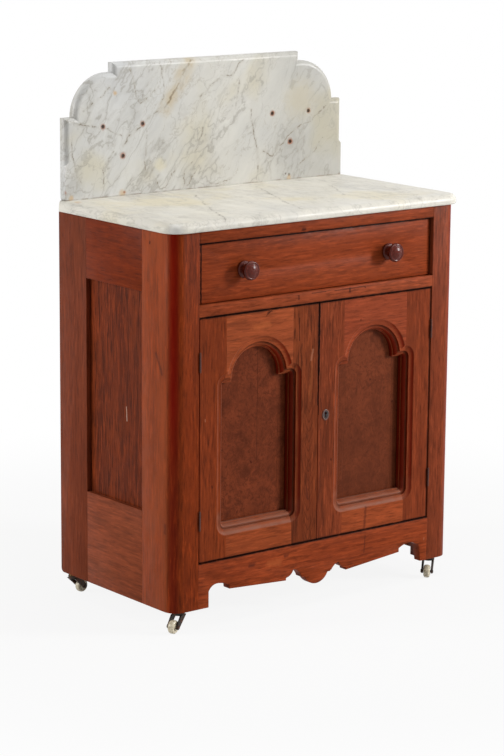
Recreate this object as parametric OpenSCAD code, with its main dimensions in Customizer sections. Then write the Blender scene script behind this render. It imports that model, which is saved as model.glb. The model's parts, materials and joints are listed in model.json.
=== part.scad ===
// Washstand: a timber cupboard with one drawer and two doors on four casters,
// under a loose marble top with a shaped marble backsplash.
// Millimetres. X runs along the front, Y from front to back, Z up.
// The origin is on the floor, under the middle of the whole object.

/* [Case] */
// Width over the two front posts
case_w = 716; // [660:1:780]
// Depth from the front face to the back boards
case_d = 380; // [350:1:430]
// Height of the timber case, without casters and marble
case_h = 740; // [710:1:800]
// Thickness of the side frames
side_t = 22; // [18:1:28]
// Width of a front post, seen from the front
post_w = 62; // [56:1:70]
// Depth of the thick part of a front post
post_core_d = 50; // [46:1:60]
// Depth of a front post, seen from the side
post_side_d = 100; // [85:1:115]
// Radius of the round outer corner of a front post
post_r = 28; // [18:1:34]
// Width of a rear stile, seen from the side
rear_stile_w = 94; // [80:1:110]
// Height of the upper rail of a side frame
side_top_rail_h = 122; // [100:1:140]
// Height of the lower rail of a side frame
side_bottom_rail_h = 187; // [150:1:210]
// Thickness of a side panel
side_panel_t = 8; // [6:1:10]
// Depth of a side panel below the face of its frame
side_panel_recess = 10; // [6:1:12]
// Radius of the worn lower corner at the back
foot_wear_r = 9; // [4:1:14]
// Thickness of the back boards
back_t = 9; // [7:1:12]
// Number of back boards
back_boards_n = 4; // [2:1:6]
// Length of the frame tenons
tenon_l = 16; // [8:1:20]
// Thickness of the frame tenons
tenon_t = 8; // [6:1:10]

/* [Front rails] */
// Height of the rail above the drawer
top_rail_h = 24; // [20:1:30]
// Height of the drawer opening
drawer_opening_h = 118; // [100:1:130]
// Height of the rail between the drawer and the doors
divider_h = 23.5; // [18:0.5:28]
// Height of the apron
apron_h = 91; // [80:1:100]
// Thickness of the apron
apron_t = 25; // [18:1:25]
// Height of the apron's straight lower edge above the end of the feet
apron_lift = 20.5; // [14:0.5:26]
// Width of a foot, from the post
foot_w = 25.5; // [18:0.5:32]
// Width of the arch beside a foot
foot_arch_w = 50.5; // [40:0.5:60]
// Distance from the arch's inner step to its highest point
foot_arch_peak = 30.5; // [26:0.5:36]
// Height of the arch's inner step above the end of the feet
foot_arch_step = 37; // [30:0.5:38]
// Height of the arch's outer end above the end of the feet
foot_arch_end = 32; // [26:0.5:36]
// Height of the arch's top above the end of the feet
foot_arch_h = 45; // [38:0.5:52]
// Radius of the middle pendant
pendant_r = 32.7; // [24:0.1:38]
// Height of the pendant's lowest point above the end of the feet
pendant_z = 1.5; // [0:0.5:8]

/* [Cupboard floor] */
// Thickness of the floor board
floor_t = 16; // [12:1:18]
// Height of the door stop that the floor board makes above the apron
floor_lip = 5; // [3:0.5:8]
// Width and height of the cleats under the floor board
cleat = 20; // [16:1:24]

/* [Marble] */
// Thickness of the top
top_t = 20; // [18:1:30]
// Overhang of the top at the front and the sides
top_overhang = 10; // [6:1:16]
// Radius of the moulded upper edge of the top
top_edge_r = 13; // [8:0.5:14]
// Radius of the lower edge of the top
top_under_r = 3; // [1:0.5:4]
// Length broken off the rear left corner of the top
top_break = 16; // [4:1:24]
// Thickness of the backsplash
splash_t = 18; // [16:1:24]
// Inset of the backsplash's ends from the case's sides
splash_inset = 4.5; // [0:0.5:12]
// Height of the backsplash's end shoulders
splash_shoulder_h = 163; // [140:1:180]
// Width of an end shoulder, outside the arc
splash_shoulder_w = 22.5; // [16:0.5:30]
// Radius of the arcs
splash_arc_r = 85.5; // [70:1:95]
// Length of the step beside the raised middle
splash_step_w = 7.5; // [4:0.5:16]
// Height of the raised middle above the arcs
splash_rise = 19.5; // [14:0.5:28]
// Radius of the moulded front edge of the backsplash
splash_edge_r = 10.5; // [6:0.5:12]
// Height at which the moulding on the ends stops
splash_stop_h = 68; // [40:1:90]
// Radius of the worn lower left corner of the backsplash
splash_wear_r = 5.5; // [2:0.5:9]
// Diameter of the bracket holes
bracket_hole_d = 8; // [6:0.5:10]
// Distance between the two upper holes of a bracket
bracket_hole_gap = 97; // [80:1:110]
// Distance from the middle to a bracket's centre line
bracket_x = 214.5; // [190:0.5:225]
// Height of the upper bracket holes above the top
bracket_upper_h = 141.5; // [125:0.5:150]
// Height of the lower bracket hole above the top
bracket_lower_h = 80; // [60:0.5:90]
// Diameter of the iron pins that locate the backsplash
splash_pin_d = 6; // [5:0.5:8]

/* [Drawer] */
// Gap beside the drawer front
drawer_side_gap = 2.5; // [1.5:0.1:4]
// Gap above and below the drawer front
drawer_edge_gap = 2; // [1:0.1:3]
// Depth of the drawer front below the face of the case
drawer_recess = 8; // [2:0.5:12]
// Thickness of the drawer front
drawer_front_t = 20; // [18:1:24]
// Thickness of the drawer's sides and back
drawer_side_t = 12; // [10:1:14]
// Thickness of the drawer's bottom board
drawer_bottom_t = 7; // [5:1:9]
// Height of the drawer's bottom board above the lower edge of the sides
drawer_bottom_lift = 8; // [6:1:14]
// Number of dovetails on each front corner
dovetails = 4; // [3:1:5]
// Length of a dovetail
dovetail_l = 14; // [10:1:16]
// Distance between the two knobs
knob_gap = 366; // [320:1:420]
// Radius of a knob's head
knob_r = 19; // [16:0.5:22]
// Length of a knob in front of the drawer
knob_l = 30; // [26:0.5:36]
// Radius of the peg that holds a knob
knob_peg_r = 7; // [5:0.5:8]
// Travel of the drawer
drawer_travel = 290; // [200:5:300]

/* [Doors] */
// Gap between a door and its post, filled by the hinge leaves
hinge_gap = 2.8; // [2.4:0.1:4]
// Gap between the two doors
meeting_gap = 2; // [1.6:0.1:4]
// Gap above and below the doors
door_edge_gap = 2; // [1:0.1:3]
// Depth of the doors below the face of the case
door_recess = 1; // [0.5:0.5:3]
// Thickness of a door frame
door_t = 25; // [22:1:28]
// Width of a door stile
stile_w = 64; // [56:1:72]
// Height of a door's lower rail
bottom_rail_h = 67; // [56:1:80]
// Height from the arch's centre to the top of the door
arch_drop = 130.5; // [110:0.5:150]
// Radius of the arch in the door's upper rail
arch_r = 58.5; // [48:0.5:59]
// Height from the shoulders to the arch's centre
shoulder_drop = 4; // [0:0.5:10]
// Thickness of a door panel
panel_t = 7; // [5:0.5:8]
// Width by which a door panel laps the back of its frame
panel_lap = 12; // [8:1:16]

/* [Door moulding] */
// Width of the moulding worked in the frame
mould_w = 22.6; // [20:0.1:23]
// Radius of the moulding's hollow
hollow_r = 17; // [15:0.5:20]
// Depth of the hollow
hollow_d = 4.3; // [3:0.1:5]
// Depth of the narrow flat beside the hollow
quirk_d = 7.7; // [6:0.1:9]
// Width of the narrow flat beside the hollow
quirk_w = 1.4; // [0.8:0.1:2]
// Radius of the moulding's round
round_r = 7.1; // [5:0.1:7.4]
// Depth of the moulding's inner flat
inner_flat_d = 16.2; // [15.5:0.1:19]
// Outer radius of the moulding at the shoulders and the lower corners
mould_corner_r = 25; // [24.6:0.1:30]

/* [Hinges] */
// Length of a hinge
hinge_l = 36; // [32:1:50]
// Radius of a hinge's knuckles
knuckle_r = 1.8; // [1.7:0.1:2.6]
// Radius of a hinge's pin
hinge_pin_r = 0.9; // [0.8:0.1:1]
// Thickness of a hinge's leaves
leaf_t = 1; // [0.8:0.05:1.2]
// Width of a hinge's leaves
leaf_w = 19; // [14:1:19]
// Height from a door's edge to the middle of its nearest hinge
hinge_inset = 84; // [70:1:110]

/* [Lock and bolt] */
// Height of the keyhole above the case's lower edge
lock_z = 345.5; // [300:0.5:380]
// Distance from the door's edge to the keyhole
keyhole_inset = 18; // [16:0.5:22]
// Width of the lock's case
lock_w = 38; // [34:1:42]
// Height of the lock's case
lock_h = 48; // [40:1:54]
// Thickness of the lock's case
lock_t = 10; // [9:0.5:10]
// Width of the bolt of the lock
lock_bolt_w = 20; // [14:1:24]
// Thickness of the bolt of the lock
lock_bolt_t = 5; // [4:0.5:6]
// Travel of the bolt of the lock
lock_travel = 8; // [5:0.5:9]
// Radius of the door bolt's rod
rod_r = 3; // [2.5:0.1:3.5]
// Length of the door bolt's rod
rod_l = 78; // [70:1:95]
// Travel of the door bolt's rod
rod_travel = 10; // [6:0.5:14]

/* [Casters] */
// Height of the casters
caster_h = 42; // [38:0.5:48]
// Distance from the case's side to the front left swivel
swivel_inset_left = 31.5; // [22:0.5:36]
// Distance from the case's side to the front right swivel
swivel_inset_right = 35.5; // [22:0.5:36]
// Distance from the case's front to the front swivels
swivel_inset_front = 22.5; // [20:0.5:30]
// Distance from the case's side to the rear swivels
swivel_inset_side = 11; // [10:0.5:13]
// Distance from the case's back to the rear swivels
swivel_inset_rear = 30; // [28:0.5:50]
// Distance from a swivel to its axle
trail = 21; // [16:0.5:22]
// Radius of a wheel
wheel_r = 13.5; // [11:0.5:14]
// Width of a wheel
wheel_w = 12.5; // [10:0.5:13.5]
// Radius of a wheel's axle
axle_r = 2; // [1.5:0.1:2.5]
// Radius of a swivel's stem
stem_r = 3.2; // [2.5:0.1:3.6]
// Length of a swivel's stem
stem_l = 32; // [24:1:40]

/* [Hidden] */

LEFT = -1;
RIGHT = 1;

fit = 0.1;        // clearance of a glued or screwed joint
seat = 0.3;       // clearance of a piece that only lies on its seat
run = 0.06;       // radial clearance of a pin that turns
cut = 1;          // how far a cutter runs past the face it opens

walnut = "#84401f";
walnut_dark = "#6b2e1a";
burl = "#6f3219";
knob_wood = "#4a1b12";
pine = "#b08a5b";
marble = "#d9d3c6";
iron = "#2c2622";
brass = "#8c6a33";
ceramic = "#d8cdb4";

half_w = case_w / 2;
side_in = half_w - side_t;                 // inner face of a side frame
opening_half = half_w - post_w;            // half the opening between the posts
knob_reach = knob_l - drawer_recess;       // how far the knobs stand out of the case
face_y = -(case_d - knob_reach) / 2;       // the case's front face
back_y = case_d - back_t;                  // front face of the back boards

top_rail_z = case_h - top_rail_h;
drawer_floor_z = top_rail_z - drawer_opening_h;
divider_z = drawer_floor_z - divider_h;
floor_top = apron_h + floor_lip;
runner_h = 20;
runner_in = opening_half - drawer_side_t - 9;

door_w = (2 * opening_half - 2 * hinge_gap - meeting_gap) / 2;
door_z0 = apron_h + door_edge_gap;
door_z1 = divider_z - door_edge_gap;
door_x0 = meeting_gap / 2;                 // edge where the doors meet
door_x1 = door_x0 + door_w;                // edge at the hinges
door_cx = door_x0 + door_w / 2;
door_back = door_recess + door_t;
opening_hw = door_w / 2 - stile_w;         // half the opening of a door frame
arch_z = door_z1 - arch_drop;
shoulder_z = arch_z - shoulder_drop;
panel_z0 = door_z0 + bottom_rail_h;

hinge_x = opening_half - hinge_gap / 2;
hinge_y = -(knuckle_r + 0.1);
hinge_zs = [door_z0 + hinge_inset, door_z1 - hinge_inset];

rod_inset = 22;
rod_x = door_x0 + rod_inset;
rod_y = door_back + 1.5 + rod_r + 1.5;
rod_z0 = door_z1 - rod_l;
rod_hole_l = rod_travel + 3;
rod_hole_half = rod_r + 1.2;

socket_r = stem_r + 1.5;
plate_r = 10;
plate_t = 2.5;
crown_t = 6;
arm_in = wheel_w / 2 + 2;
arm_t = 3.6;
axle_z = wheel_r - caster_h;               // below the case's lower edge
splash_y = case_d - splash_t;
splash_half = half_w - splash_inset;
arc_x = splash_half - splash_shoulder_w - splash_arc_r;
arc_z = splash_shoulder_h - 1.5;
raised_half = arc_x - splash_step_w;
splash_h = arc_z + splash_arc_r + splash_rise;

// Each caster: the place of its swivel in the case's frame, and its heading
front_left = [-(half_w - swivel_inset_left), swivel_inset_front, -157];
front_right = [half_w - swivel_inset_right, swivel_inset_front, -139];
rear_left = [-(half_w - swivel_inset_side), case_d - swivel_inset_rear, 12];
rear_right = [half_w - swivel_inset_side, case_d - swivel_inset_rear, 150];
casters = [front_left, front_right, rear_left, rear_right];

// ---------- helpers ----------

// Puts its children in the case's frame: y = 0 at the front face, z = 0 at the lower edge
module at_case() {
    translate([0, face_y, caster_h]) children();
}

// Children are drawn for the right-hand side, and mirrored for the left
module on_side(side) {
    mirror([side == LEFT ? 1 : 0, 0, 0]) children();
}

// A box between two corners
module block(a, b) {
    translate(a) cube(b - a);
}

// A flat outline drawn in x and z, as a plate from y0 back to y1
module plate_xz(y0, y1) {
    translate([0, y1, 0]) rotate([90, 0, 0]) linear_extrude(y1 - y0) children();
}

// A flat outline drawn in y and z, as a plate from x0 to x1
module plate_yz(x0, x1) {
    translate([x0, 0, 0]) rotate([90, 0, 90]) linear_extrude(x1 - x0) children();
}

// A tenon that a rail pushes sideways into its neighbour; grow opens the mortise
module tenon_x(x0, x1, y_mid, z0, z1, grow) {
    block([x0 - grow, y_mid - tenon_t / 2 - grow, z0 - grow],
          [x1 + grow, y_mid + tenon_t / 2 + grow, z1 + grow]);
}

module tenon_y(y0, y1, x_mid, z0, z1, grow) {
    block([x_mid - tenon_t / 2 - grow, y0 - grow, z0 - grow],
          [x_mid + tenon_t / 2 + grow, y1 + grow, z1 + grow]);
}

// ---------- side frames (right-hand) ----------

side_mid_x = half_w - side_t / 2;
rail_y0 = post_side_d;
rail_y1 = case_d - rear_stile_w;
panel_top = case_h - side_top_rail_h;
panel_groove = 6;
tenon_shoulder = 12;

// Tenons of the two side rails, at both ends
module side_rail_tenons(z0, z1, grow) {
    for (y = [[rail_y0 - tenon_l, rail_y0], [rail_y1, rail_y1 + tenon_l]])
        tenon_y(y[0], y[1], side_mid_x, z0 + tenon_shoulder, z1 - tenon_shoulder, grow);
}

// Space of the side panel, tongue included
module side_panel_space(grow) {
    block([half_w - side_panel_recess - side_panel_t - grow,
           rail_y0 - panel_groove - grow, side_bottom_rail_h - panel_groove - grow],
          [half_w - side_panel_recess + grow,
           rail_y1 + panel_groove + grow, panel_top + panel_groove + grow]);
}

module post_section() {
    inner = opening_half;
    union() {
        translate([inner, 0]) square([post_w - post_r, post_core_d]);
        translate([inner, post_r]) square([post_w, post_core_d - post_r]);
        intersection() {
            translate([half_w - post_r, post_r]) circle(post_r, $fn = 96);
            translate([half_w - post_r, 0]) square([post_r, post_r]);
        }
        translate([half_w - side_t, post_r]) square([side_t, post_side_d - post_r]);
    }
}

front_tenon_y = post_core_d / 2;
front_tenon_l = 20;

// Tenons of the rail over the drawer, the divider and the apron, at the right-hand post;
// they are drawn from just inside their rail
module front_rail_tenons(grow) {
    tenon_x(opening_half - cut, opening_half + front_tenon_l, front_tenon_y,
            top_rail_z + 4, case_h - 4, grow);
    tenon_x(opening_half - cut, opening_half + front_tenon_l, front_tenon_y,
            divider_z + 4, drawer_floor_z - 4, grow);
    tenon_x(opening_half - cut, opening_half + front_tenon_l, apron_t / 2,
            foot_arch_h + 6, apron_h - tenon_shoulder, grow);
}

module swivel_hole(place) {
    translate([place[0], place[1], -cut]) cylinder(r = socket_r, h = stem_l + 3 + cut, $fn = 48);
}

module front_post(side) {
    color(walnut) at_case() difference() {
        on_side(side) difference() {
            linear_extrude(case_h) post_section();
            side_rail_tenons(0, side_bottom_rail_h, fit);
            side_rail_tenons(panel_top, case_h, fit);
            side_panel_space(fit);
            front_rail_tenons(fit);
        }
        swivel_hole(side == LEFT ? front_left : front_right);
    }
}

module rear_stile_outline() {
    union() {
        translate([rail_y1, foot_wear_r]) square([rear_stile_w, case_h - foot_wear_r]);
        translate([rail_y1, 0]) square([rear_stile_w - foot_wear_r, case_h]);
        translate([case_d - foot_wear_r, foot_wear_r]) circle(foot_wear_r, $fn = 64);
    }
}

back_rebate = 10;

module rear_stile(side) {
    color(walnut) at_case() on_side(side) difference() {
        plate_yz(side_in, half_w) rear_stile_outline();
        side_rail_tenons(0, side_bottom_rail_h, fit);
        side_rail_tenons(panel_top, case_h, fit);
        side_panel_space(fit);
        block([side_in - cut, back_y, -cut], [side_in + back_rebate, case_d + cut, case_h + cut]);
        swivel_hole(rear_right);
    }
}

module side_rail(side, z0, z1) {
    color(walnut) at_case() on_side(side) difference() {
        union() {
            block([side_in, rail_y0, z0], [half_w, rail_y1, z1]);
            side_rail_tenons(z0, z1, 0);
        }
        side_panel_space(fit);
    }
}

module side_panel(side) {
    color(walnut_dark) at_case() on_side(side) side_panel_space(0);
}

// ---------- front rails ----------

module front_rail(z0, z1) {
    block([-opening_half, 0, z0], [opening_half, post_core_d, z1]);
}

module both_front_tenons(z0, z1) {
    for (side = [LEFT, RIGHT]) on_side(side) intersection() {
        front_rail_tenons(0);
        block([opening_half - 2 * cut, 0, z0], [half_w, post_core_d, z1]);
    }
}

module front_top_rail() {
    color(walnut) at_case() union() {
        front_rail(top_rail_z, case_h);
        both_front_tenons(top_rail_z, case_h);
    }
}

module divider_rail() {
    color(walnut) at_case() difference() {
        union() {
            front_rail(divider_z, drawer_floor_z);
            both_front_tenons(divider_z, drawer_floor_z);
        }
        // square mortise for the rod of the left door's bolt
        block([-rod_x - rod_hole_half, rod_y - rod_hole_half, divider_z - cut],
              [-rod_x + rod_hole_half, rod_y + rod_hole_half, divider_z + rod_hole_l]);
    }
}

// Notch between the pendant and the straight edge, right-hand side: it rises along the
// inside of one circle and falls along the outside of another
notch_in = 36;
notch_out = 77.5;
notch_rise = [64.5, 13, 28.5];
notch_fall = [80, 48.5, 23];

module apron_notch() {
    difference() {
        intersection() {
            translate([notch_in, 0]) square([notch_out - notch_in, 2 * apron_lift + cut]);
            translate([notch_rise[0], notch_rise[1]]) circle(notch_rise[2], $fn = 96);
        }
        translate([notch_fall[0], notch_fall[1]]) circle(notch_fall[2], $fn = 96);
    }
    translate([notch_in, -cut]) square([notch_out - notch_in, apron_lift + cut]);
}

// Radius of an arc that falls by a drop over a width
function arc_radius(width, drop) = (width * width + drop * drop) / (2 * drop);

// One half of the arch: a strip under an arc that falls away from the peak
module arch_strip(x0, width, peak_x, drop) {
    r = arc_radius(width, drop);
    intersection() {
        translate([x0, -cut]) square([width, foot_arch_h + 2 * cut]);
        translate([peak_x, foot_arch_h - r]) circle(r, $fn = 128);
    }
}

foot_arch_x = opening_half - foot_w - foot_arch_w;

module apron_foot_arch() {
    outer_w = foot_arch_w - foot_arch_peak;
    outer_drop = foot_arch_h - foot_arch_end;
    peak = foot_arch_x + foot_arch_peak;
    arch_strip(foot_arch_x, foot_arch_peak, peak, foot_arch_h - foot_arch_step);
    arch_strip(peak, outer_w, peak, outer_drop);
    translate([foot_arch_x, -cut])
        square([foot_arch_w, foot_arch_h - arc_radius(outer_w, outer_drop) + cut]);
    translate([notch_out - cut, -cut])
        square([foot_arch_x - notch_out + 2 * cut, apron_lift + cut]);
}

module apron_outline() {
    difference() {
        translate([-opening_half, 0]) square([2 * opening_half, apron_h]);
        for (side = [0, 1]) mirror([side, 0]) {
            apron_notch();
            apron_foot_arch();
            difference() {
                translate([-cut, -cut]) square([notch_in + 2 * cut, apron_lift + cut]);
                translate([0, pendant_z + pendant_r]) circle(pendant_r, $fn = 96);
            }
        }
    }
}

module apron() {
    color(walnut) at_case() union() {
        plate_xz(0, apron_t) apron_outline();
        both_front_tenons(0, apron_h);
    }
}

// ---------- inside the case ----------

module back_boards() {
    bottom = floor_top - floor_t - cleat;
    board_h = (case_h - bottom) / back_boards_n;
    half = side_in + back_rebate - seat;
    color(pine) at_case() for (i = [0 : back_boards_n - 1])
        block([-half, back_y + fit, bottom + i * board_h + 0.5],
              [half, case_d, bottom + (i + 1) * board_h - (i < back_boards_n - 1 ? 0.5 : 0)]);
}

module cupboard_floor() {
    z0 = floor_top - floor_t;
    color(pine) at_case() union() {
        block([-opening_half + seat, door_back + seat, z0],
              [opening_half - seat, post_core_d + seat, floor_top]);
        block([-side_in + seat, post_core_d + seat, z0],
              [side_in - seat, back_y - seat, floor_top]);
    }
}

cleat_z1 = floor_top - floor_t;

module floor_cleats() {
    z0 = cleat_z1 - cleat;
    color(pine) at_case() {
        for (side = [LEFT, RIGHT]) on_side(side)
            block([side_in - cleat, post_core_d + seat, z0],
                  [side_in - fit, back_y - seat, cleat_z1]);
        block([-opening_half + seat, apron_t, z0],
              [opening_half - seat, apron_t + cleat, cleat_z1]);
    }
}

module drawer_runners() {
    color(pine) at_case() for (side = [LEFT, RIGHT]) on_side(side)
        block([runner_in, post_core_d, drawer_floor_z - runner_h],
              [side_in, back_y - seat, drawer_floor_z]);
}

module drawer_guides() {
    color(pine) at_case() for (side = [LEFT, RIGHT]) on_side(side)
        block([opening_half - drawer_side_gap + 0.8, post_core_d, drawer_floor_z],
              [side_in, back_y - seat, drawer_floor_z + runner_h]);
}

module drawer_kickers() {
    color(pine) at_case() for (side = [LEFT, RIGHT]) on_side(side)
        block([runner_in, post_core_d, top_rail_z], [side_in, back_y - seat, case_h]);
}

// ---------- marble ----------

// Section of the top at a moulded edge: x = 0 is the widest point, inwards is +x
module top_edge_section(depth) {
    union() {
        translate([top_under_r, 0]) square([depth - top_under_r, top_under_r + 0.01]);
        translate([0, top_under_r]) square([depth, top_t - top_edge_r - top_under_r]);
        translate([top_edge_r, 0]) square([depth - top_edge_r, top_t]);
        intersection() {
            translate([top_edge_r, top_t - top_edge_r]) circle(top_edge_r, $fn = 96);
            translate([0, top_t - top_edge_r]) square([top_edge_r + 0.01, top_edge_r]);
        }
        intersection() {
            translate([top_under_r, top_under_r]) circle(top_under_r, $fn = 48);
            square([top_under_r + 0.01, top_under_r + 0.01]);
        }
    }
}

top_half = half_w + top_overhang;
top_corner_r = post_r + top_overhang;

module splash_pin_holes(z0, length, radius) {
    for (x = [-splash_half * 0.6, splash_half * 0.6])
        translate([x, case_d - splash_t / 2, z0]) cylinder(r = radius, h = length, $fn = 32);
}

splash_pin_l = 24;

module marble_top() {
    color(marble) at_case() translate([0, 0, case_h]) difference() {
        union() {
            // the body behind the corners, moulded along both sides
            for (side = [LEFT, RIGHT]) on_side(side)
                translate([top_half, case_d, 0]) rotate([90, 0, 0])
                    linear_extrude(case_d + top_overhang - top_corner_r)
                        mirror([1, 0]) top_edge_section(top_half + cut);
            // the front edge between the corners
            translate([-(top_half - top_corner_r), -top_overhang, 0]) rotate([90, 0, 90])
                linear_extrude(2 * (top_half - top_corner_r)) top_edge_section(top_corner_r);
            // the two round corners
            for (side = [LEFT, RIGHT]) on_side(side)
                translate([top_half - top_corner_r, top_corner_r - top_overhang, 0])
                    rotate(-90) rotate_extrude(angle = 90, $fn = 128)
                        translate([top_corner_r, 0]) mirror([1, 0])
                            top_edge_section(top_corner_r);
        }
        splash_pin_holes(top_t - splash_pin_l / 2, splash_pin_l / 2 + cut, splash_pin_d / 2 + fit);
        // the broken corner
        translate([-top_half, case_d, -cut]) linear_extrude(top_t + 2 * cut) polygon([
            [-cut, -top_break - cut], [0.3 * top_break, -0.62 * top_break],
            [top_break + cut, cut], [-cut, cut]]);
    }
}

// Cutter that leaves a quarter round on a front edge; the edge lies along x at y = 0, z = 0
module edge_cutter(length) {
    rotate([90, 0, 90]) linear_extrude(length) difference() {
        translate([-cut, -splash_edge_r]) square([splash_edge_r + cut, splash_edge_r + cut]);
        translate([splash_edge_r, -splash_edge_r]) circle(splash_edge_r, $fn = 96);
    }
}

// A plate of the backsplash, from -half to half, with its upper front edge moulded
module splash_plate(half, height) {
    difference() {
        block([-half, splash_y, 0], [half, case_d, height]);
        translate([-half - cut, splash_y, height]) edge_cutter(2 * (half + cut));
    }
}

// Cutter that leaves a quarter round on the front edge of an end
module splash_end_round(half, z0, z1) {
    translate([0, 0, z0]) linear_extrude(z1 - z0) difference() {
        translate([half - splash_edge_r, splash_y - cut])
            square([splash_edge_r + cut, splash_edge_r + cut]);
        translate([half - splash_edge_r, splash_y + splash_edge_r])
            circle(splash_edge_r, $fn = 96);
    }
}

// Keeps what lies above a slope, so that the moulding on an end runs out on the edge
module above_slope(half, z0) {
    intersection() {
        children();
        translate([half, splash_y - cut, z0]) rotate([0, 45, 0])
            block([-splash_h, 0, 0], [splash_h, splash_t, 2 * splash_h]);
    }
}

module backsplash() {
    color(marble) at_case() translate([0, 0, case_h + top_t]) difference() {
        union() {
            // the lower plate with its end shoulders
            difference() {
                splash_plate(splash_half, splash_shoulder_h);
                for (side = [LEFT, RIGHT]) on_side(side) above_slope(splash_half, splash_stop_h)
                    splash_end_round(splash_half, splash_stop_h, splash_shoulder_h + cut);
            }
            // the discs that make the arcs
            for (side = [LEFT, RIGHT]) on_side(side)
                translate([arc_x, case_d, arc_z]) rotate([90, 0, 0])
                    rotate_extrude($fn = 192) splash_disc_section();
            // the plate between the discs, and the raised middle
            splash_plate(arc_x, arc_z + splash_arc_r);
            difference() {
                splash_plate(raised_half, splash_h);
                for (side = [LEFT, RIGHT]) on_side(side)
                    splash_end_round(raised_half, arc_z + splash_arc_r - splash_edge_r, splash_h + cut);
            }
        }
        for (side = [LEFT, RIGHT]) for (p = [
                [side * bracket_x - bracket_hole_gap / 2, bracket_upper_h],
                [side * bracket_x + bracket_hole_gap / 2, bracket_upper_h],
                [side * bracket_x, bracket_lower_h]])
            translate([p[0], case_d + cut, p[1]]) rotate([90, 0, 0])
                cylinder(d = bracket_hole_d, h = splash_t + 2 * cut, $fn = 48);
        splash_pin_holes(-cut, splash_pin_l / 2 + cut, splash_pin_d / 2 + fit);
        // the worn corner
        plate_xz(splash_y - cut, case_d + cut) difference() {
            translate([-splash_half - cut, -cut]) square(splash_wear_r + cut);
            translate([splash_wear_r - splash_half, splash_wear_r])
                circle(splash_wear_r, $fn = 64);
        }
    }
}

module splash_disc_section() {
    union() {
        square([splash_arc_r, splash_t - splash_edge_r]);
        square([splash_arc_r - splash_edge_r, splash_t]);
        intersection() {
            translate([splash_arc_r - splash_edge_r, splash_t - splash_edge_r])
                circle(splash_edge_r, $fn = 96);
            translate([splash_arc_r - splash_edge_r - 0.01, splash_t - splash_edge_r - 0.01])
                square(splash_edge_r + 0.01);
        }
    }
}

module backsplash_pins() {
    color(iron) at_case() translate([0, 0, case_h + top_t])
        splash_pin_holes(-splash_pin_l / 2 + seat, splash_pin_l - 2 * seat, splash_pin_d / 2);
}

// ---------- drawer ----------

drawer_half = opening_half - drawer_side_gap;
drawer_z0 = drawer_floor_z + drawer_edge_gap;
drawer_z1 = top_rail_z - drawer_edge_gap;
drawer_y0 = drawer_recess;
drawer_y1 = drawer_recess + drawer_front_t;
drawer_back_y = back_y - seat;
drawer_side_z0 = drawer_floor_z + seat;
drawer_groove = 6;
tail_pitch = (drawer_z1 - drawer_z0) / dovetails;
tail_wide = tail_pitch * 0.62;
tail_narrow = tail_pitch * 0.42;

// The tails of a drawer side, drawn in y and z
module tails(grow) {
    for (i = [0 : dovetails - 1])
        translate([drawer_y1, drawer_z0 + (i + 0.5) * tail_pitch]) polygon([
            [cut, -tail_narrow / 2 - grow], [0, -tail_narrow / 2 - grow],
            [-dovetail_l - grow, -tail_wide / 2 - grow],
            [-dovetail_l - grow, tail_wide / 2 + grow],
            [0, tail_narrow / 2 + grow], [cut, tail_narrow / 2 + grow]]);
}

// Space of the bottom board, which slides in grooves of the sides and the front
module drawer_bottom_space(grow) {
    z0 = drawer_side_z0 + drawer_bottom_lift;
    block([-(drawer_half - drawer_side_t + drawer_groove + grow),
           drawer_y1 - drawer_groove - grow, z0 - grow],
          [drawer_half - drawer_side_t + drawer_groove + grow,
           drawer_back_y + (grow > 0 ? cut : 0), z0 + drawer_bottom_t + grow]);
}

module drawer_front() {
    color(walnut) at_case() difference() {
        block([-drawer_half, drawer_y0, drawer_z0], [drawer_half, drawer_y1, drawer_z1]);
        for (side = [LEFT, RIGHT]) on_side(side) {
            plate_yz(drawer_half - drawer_side_t - fit, drawer_half + cut) tails(fit);
            translate([knob_gap / 2, drawer_y1 + cut, (drawer_z0 + drawer_z1) / 2])
                rotate([90, 0, 0])
                    cylinder(r = knob_peg_r + fit, h = drawer_front_t + 2 * cut, $fn = 64);
        }
        drawer_bottom_space(fit);
    }
}

module drawer_side(side) {
    color(pine) at_case() on_side(side) difference() {
        union() {
            block([drawer_half - drawer_side_t, drawer_y1, drawer_side_z0],
                  [drawer_half, drawer_back_y, drawer_z1]);
            plate_yz(drawer_half - drawer_side_t, drawer_half) tails(0);
        }
        drawer_bottom_space(fit);
        drawer_back_space(fit);
    }
}

drawer_back_inset = 25;

// The back stands in housings of the sides, on the bottom board
module drawer_back_space(grow) {
    half = drawer_half - drawer_side_t + 5;
    y0 = drawer_back_y - drawer_back_inset;
    z0 = drawer_side_z0 + drawer_bottom_lift + drawer_bottom_t;
    block([-half - grow, y0 - grow, z0 + fit - grow],
          [half + grow, y0 + drawer_side_t + grow,
           drawer_z1 - 6 + (grow > 0 ? 6 + cut : 0)]);
}

module drawer_back() {
    color(pine) at_case() drawer_back_space(0);
}

module drawer_bottom() {
    color(pine) at_case() drawer_bottom_space(0);
}

// Half section of a knob: x is the radius, y the distance from the drawer front
module knob_section() {
    r = knob_r;
    l = knob_l;
    polygon([
        [0, 0], [0.8 * r, 0], [0.88 * r, 0.04 * l], [0.88 * r, 0.12 * l],
        [0.78 * r, 0.18 * l], [0.58 * r, 0.24 * l], [0.53 * r, 0.32 * l], [0.6 * r, 0.42 * l],
        [0.82 * r, 0.54 * l], [0.96 * r, 0.64 * l], [r, 0.73 * l], [0.98 * r, 0.81 * l],
        [0.9 * r, 0.88 * l], [0.83 * r, 0.9 * l], [0.76 * r, 0.88 * l],
        [0.7 * r, 0.885 * l], [0.5 * r, 0.95 * l], [0.25 * r, 0.99 * l], [0, l]]);
}

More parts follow.
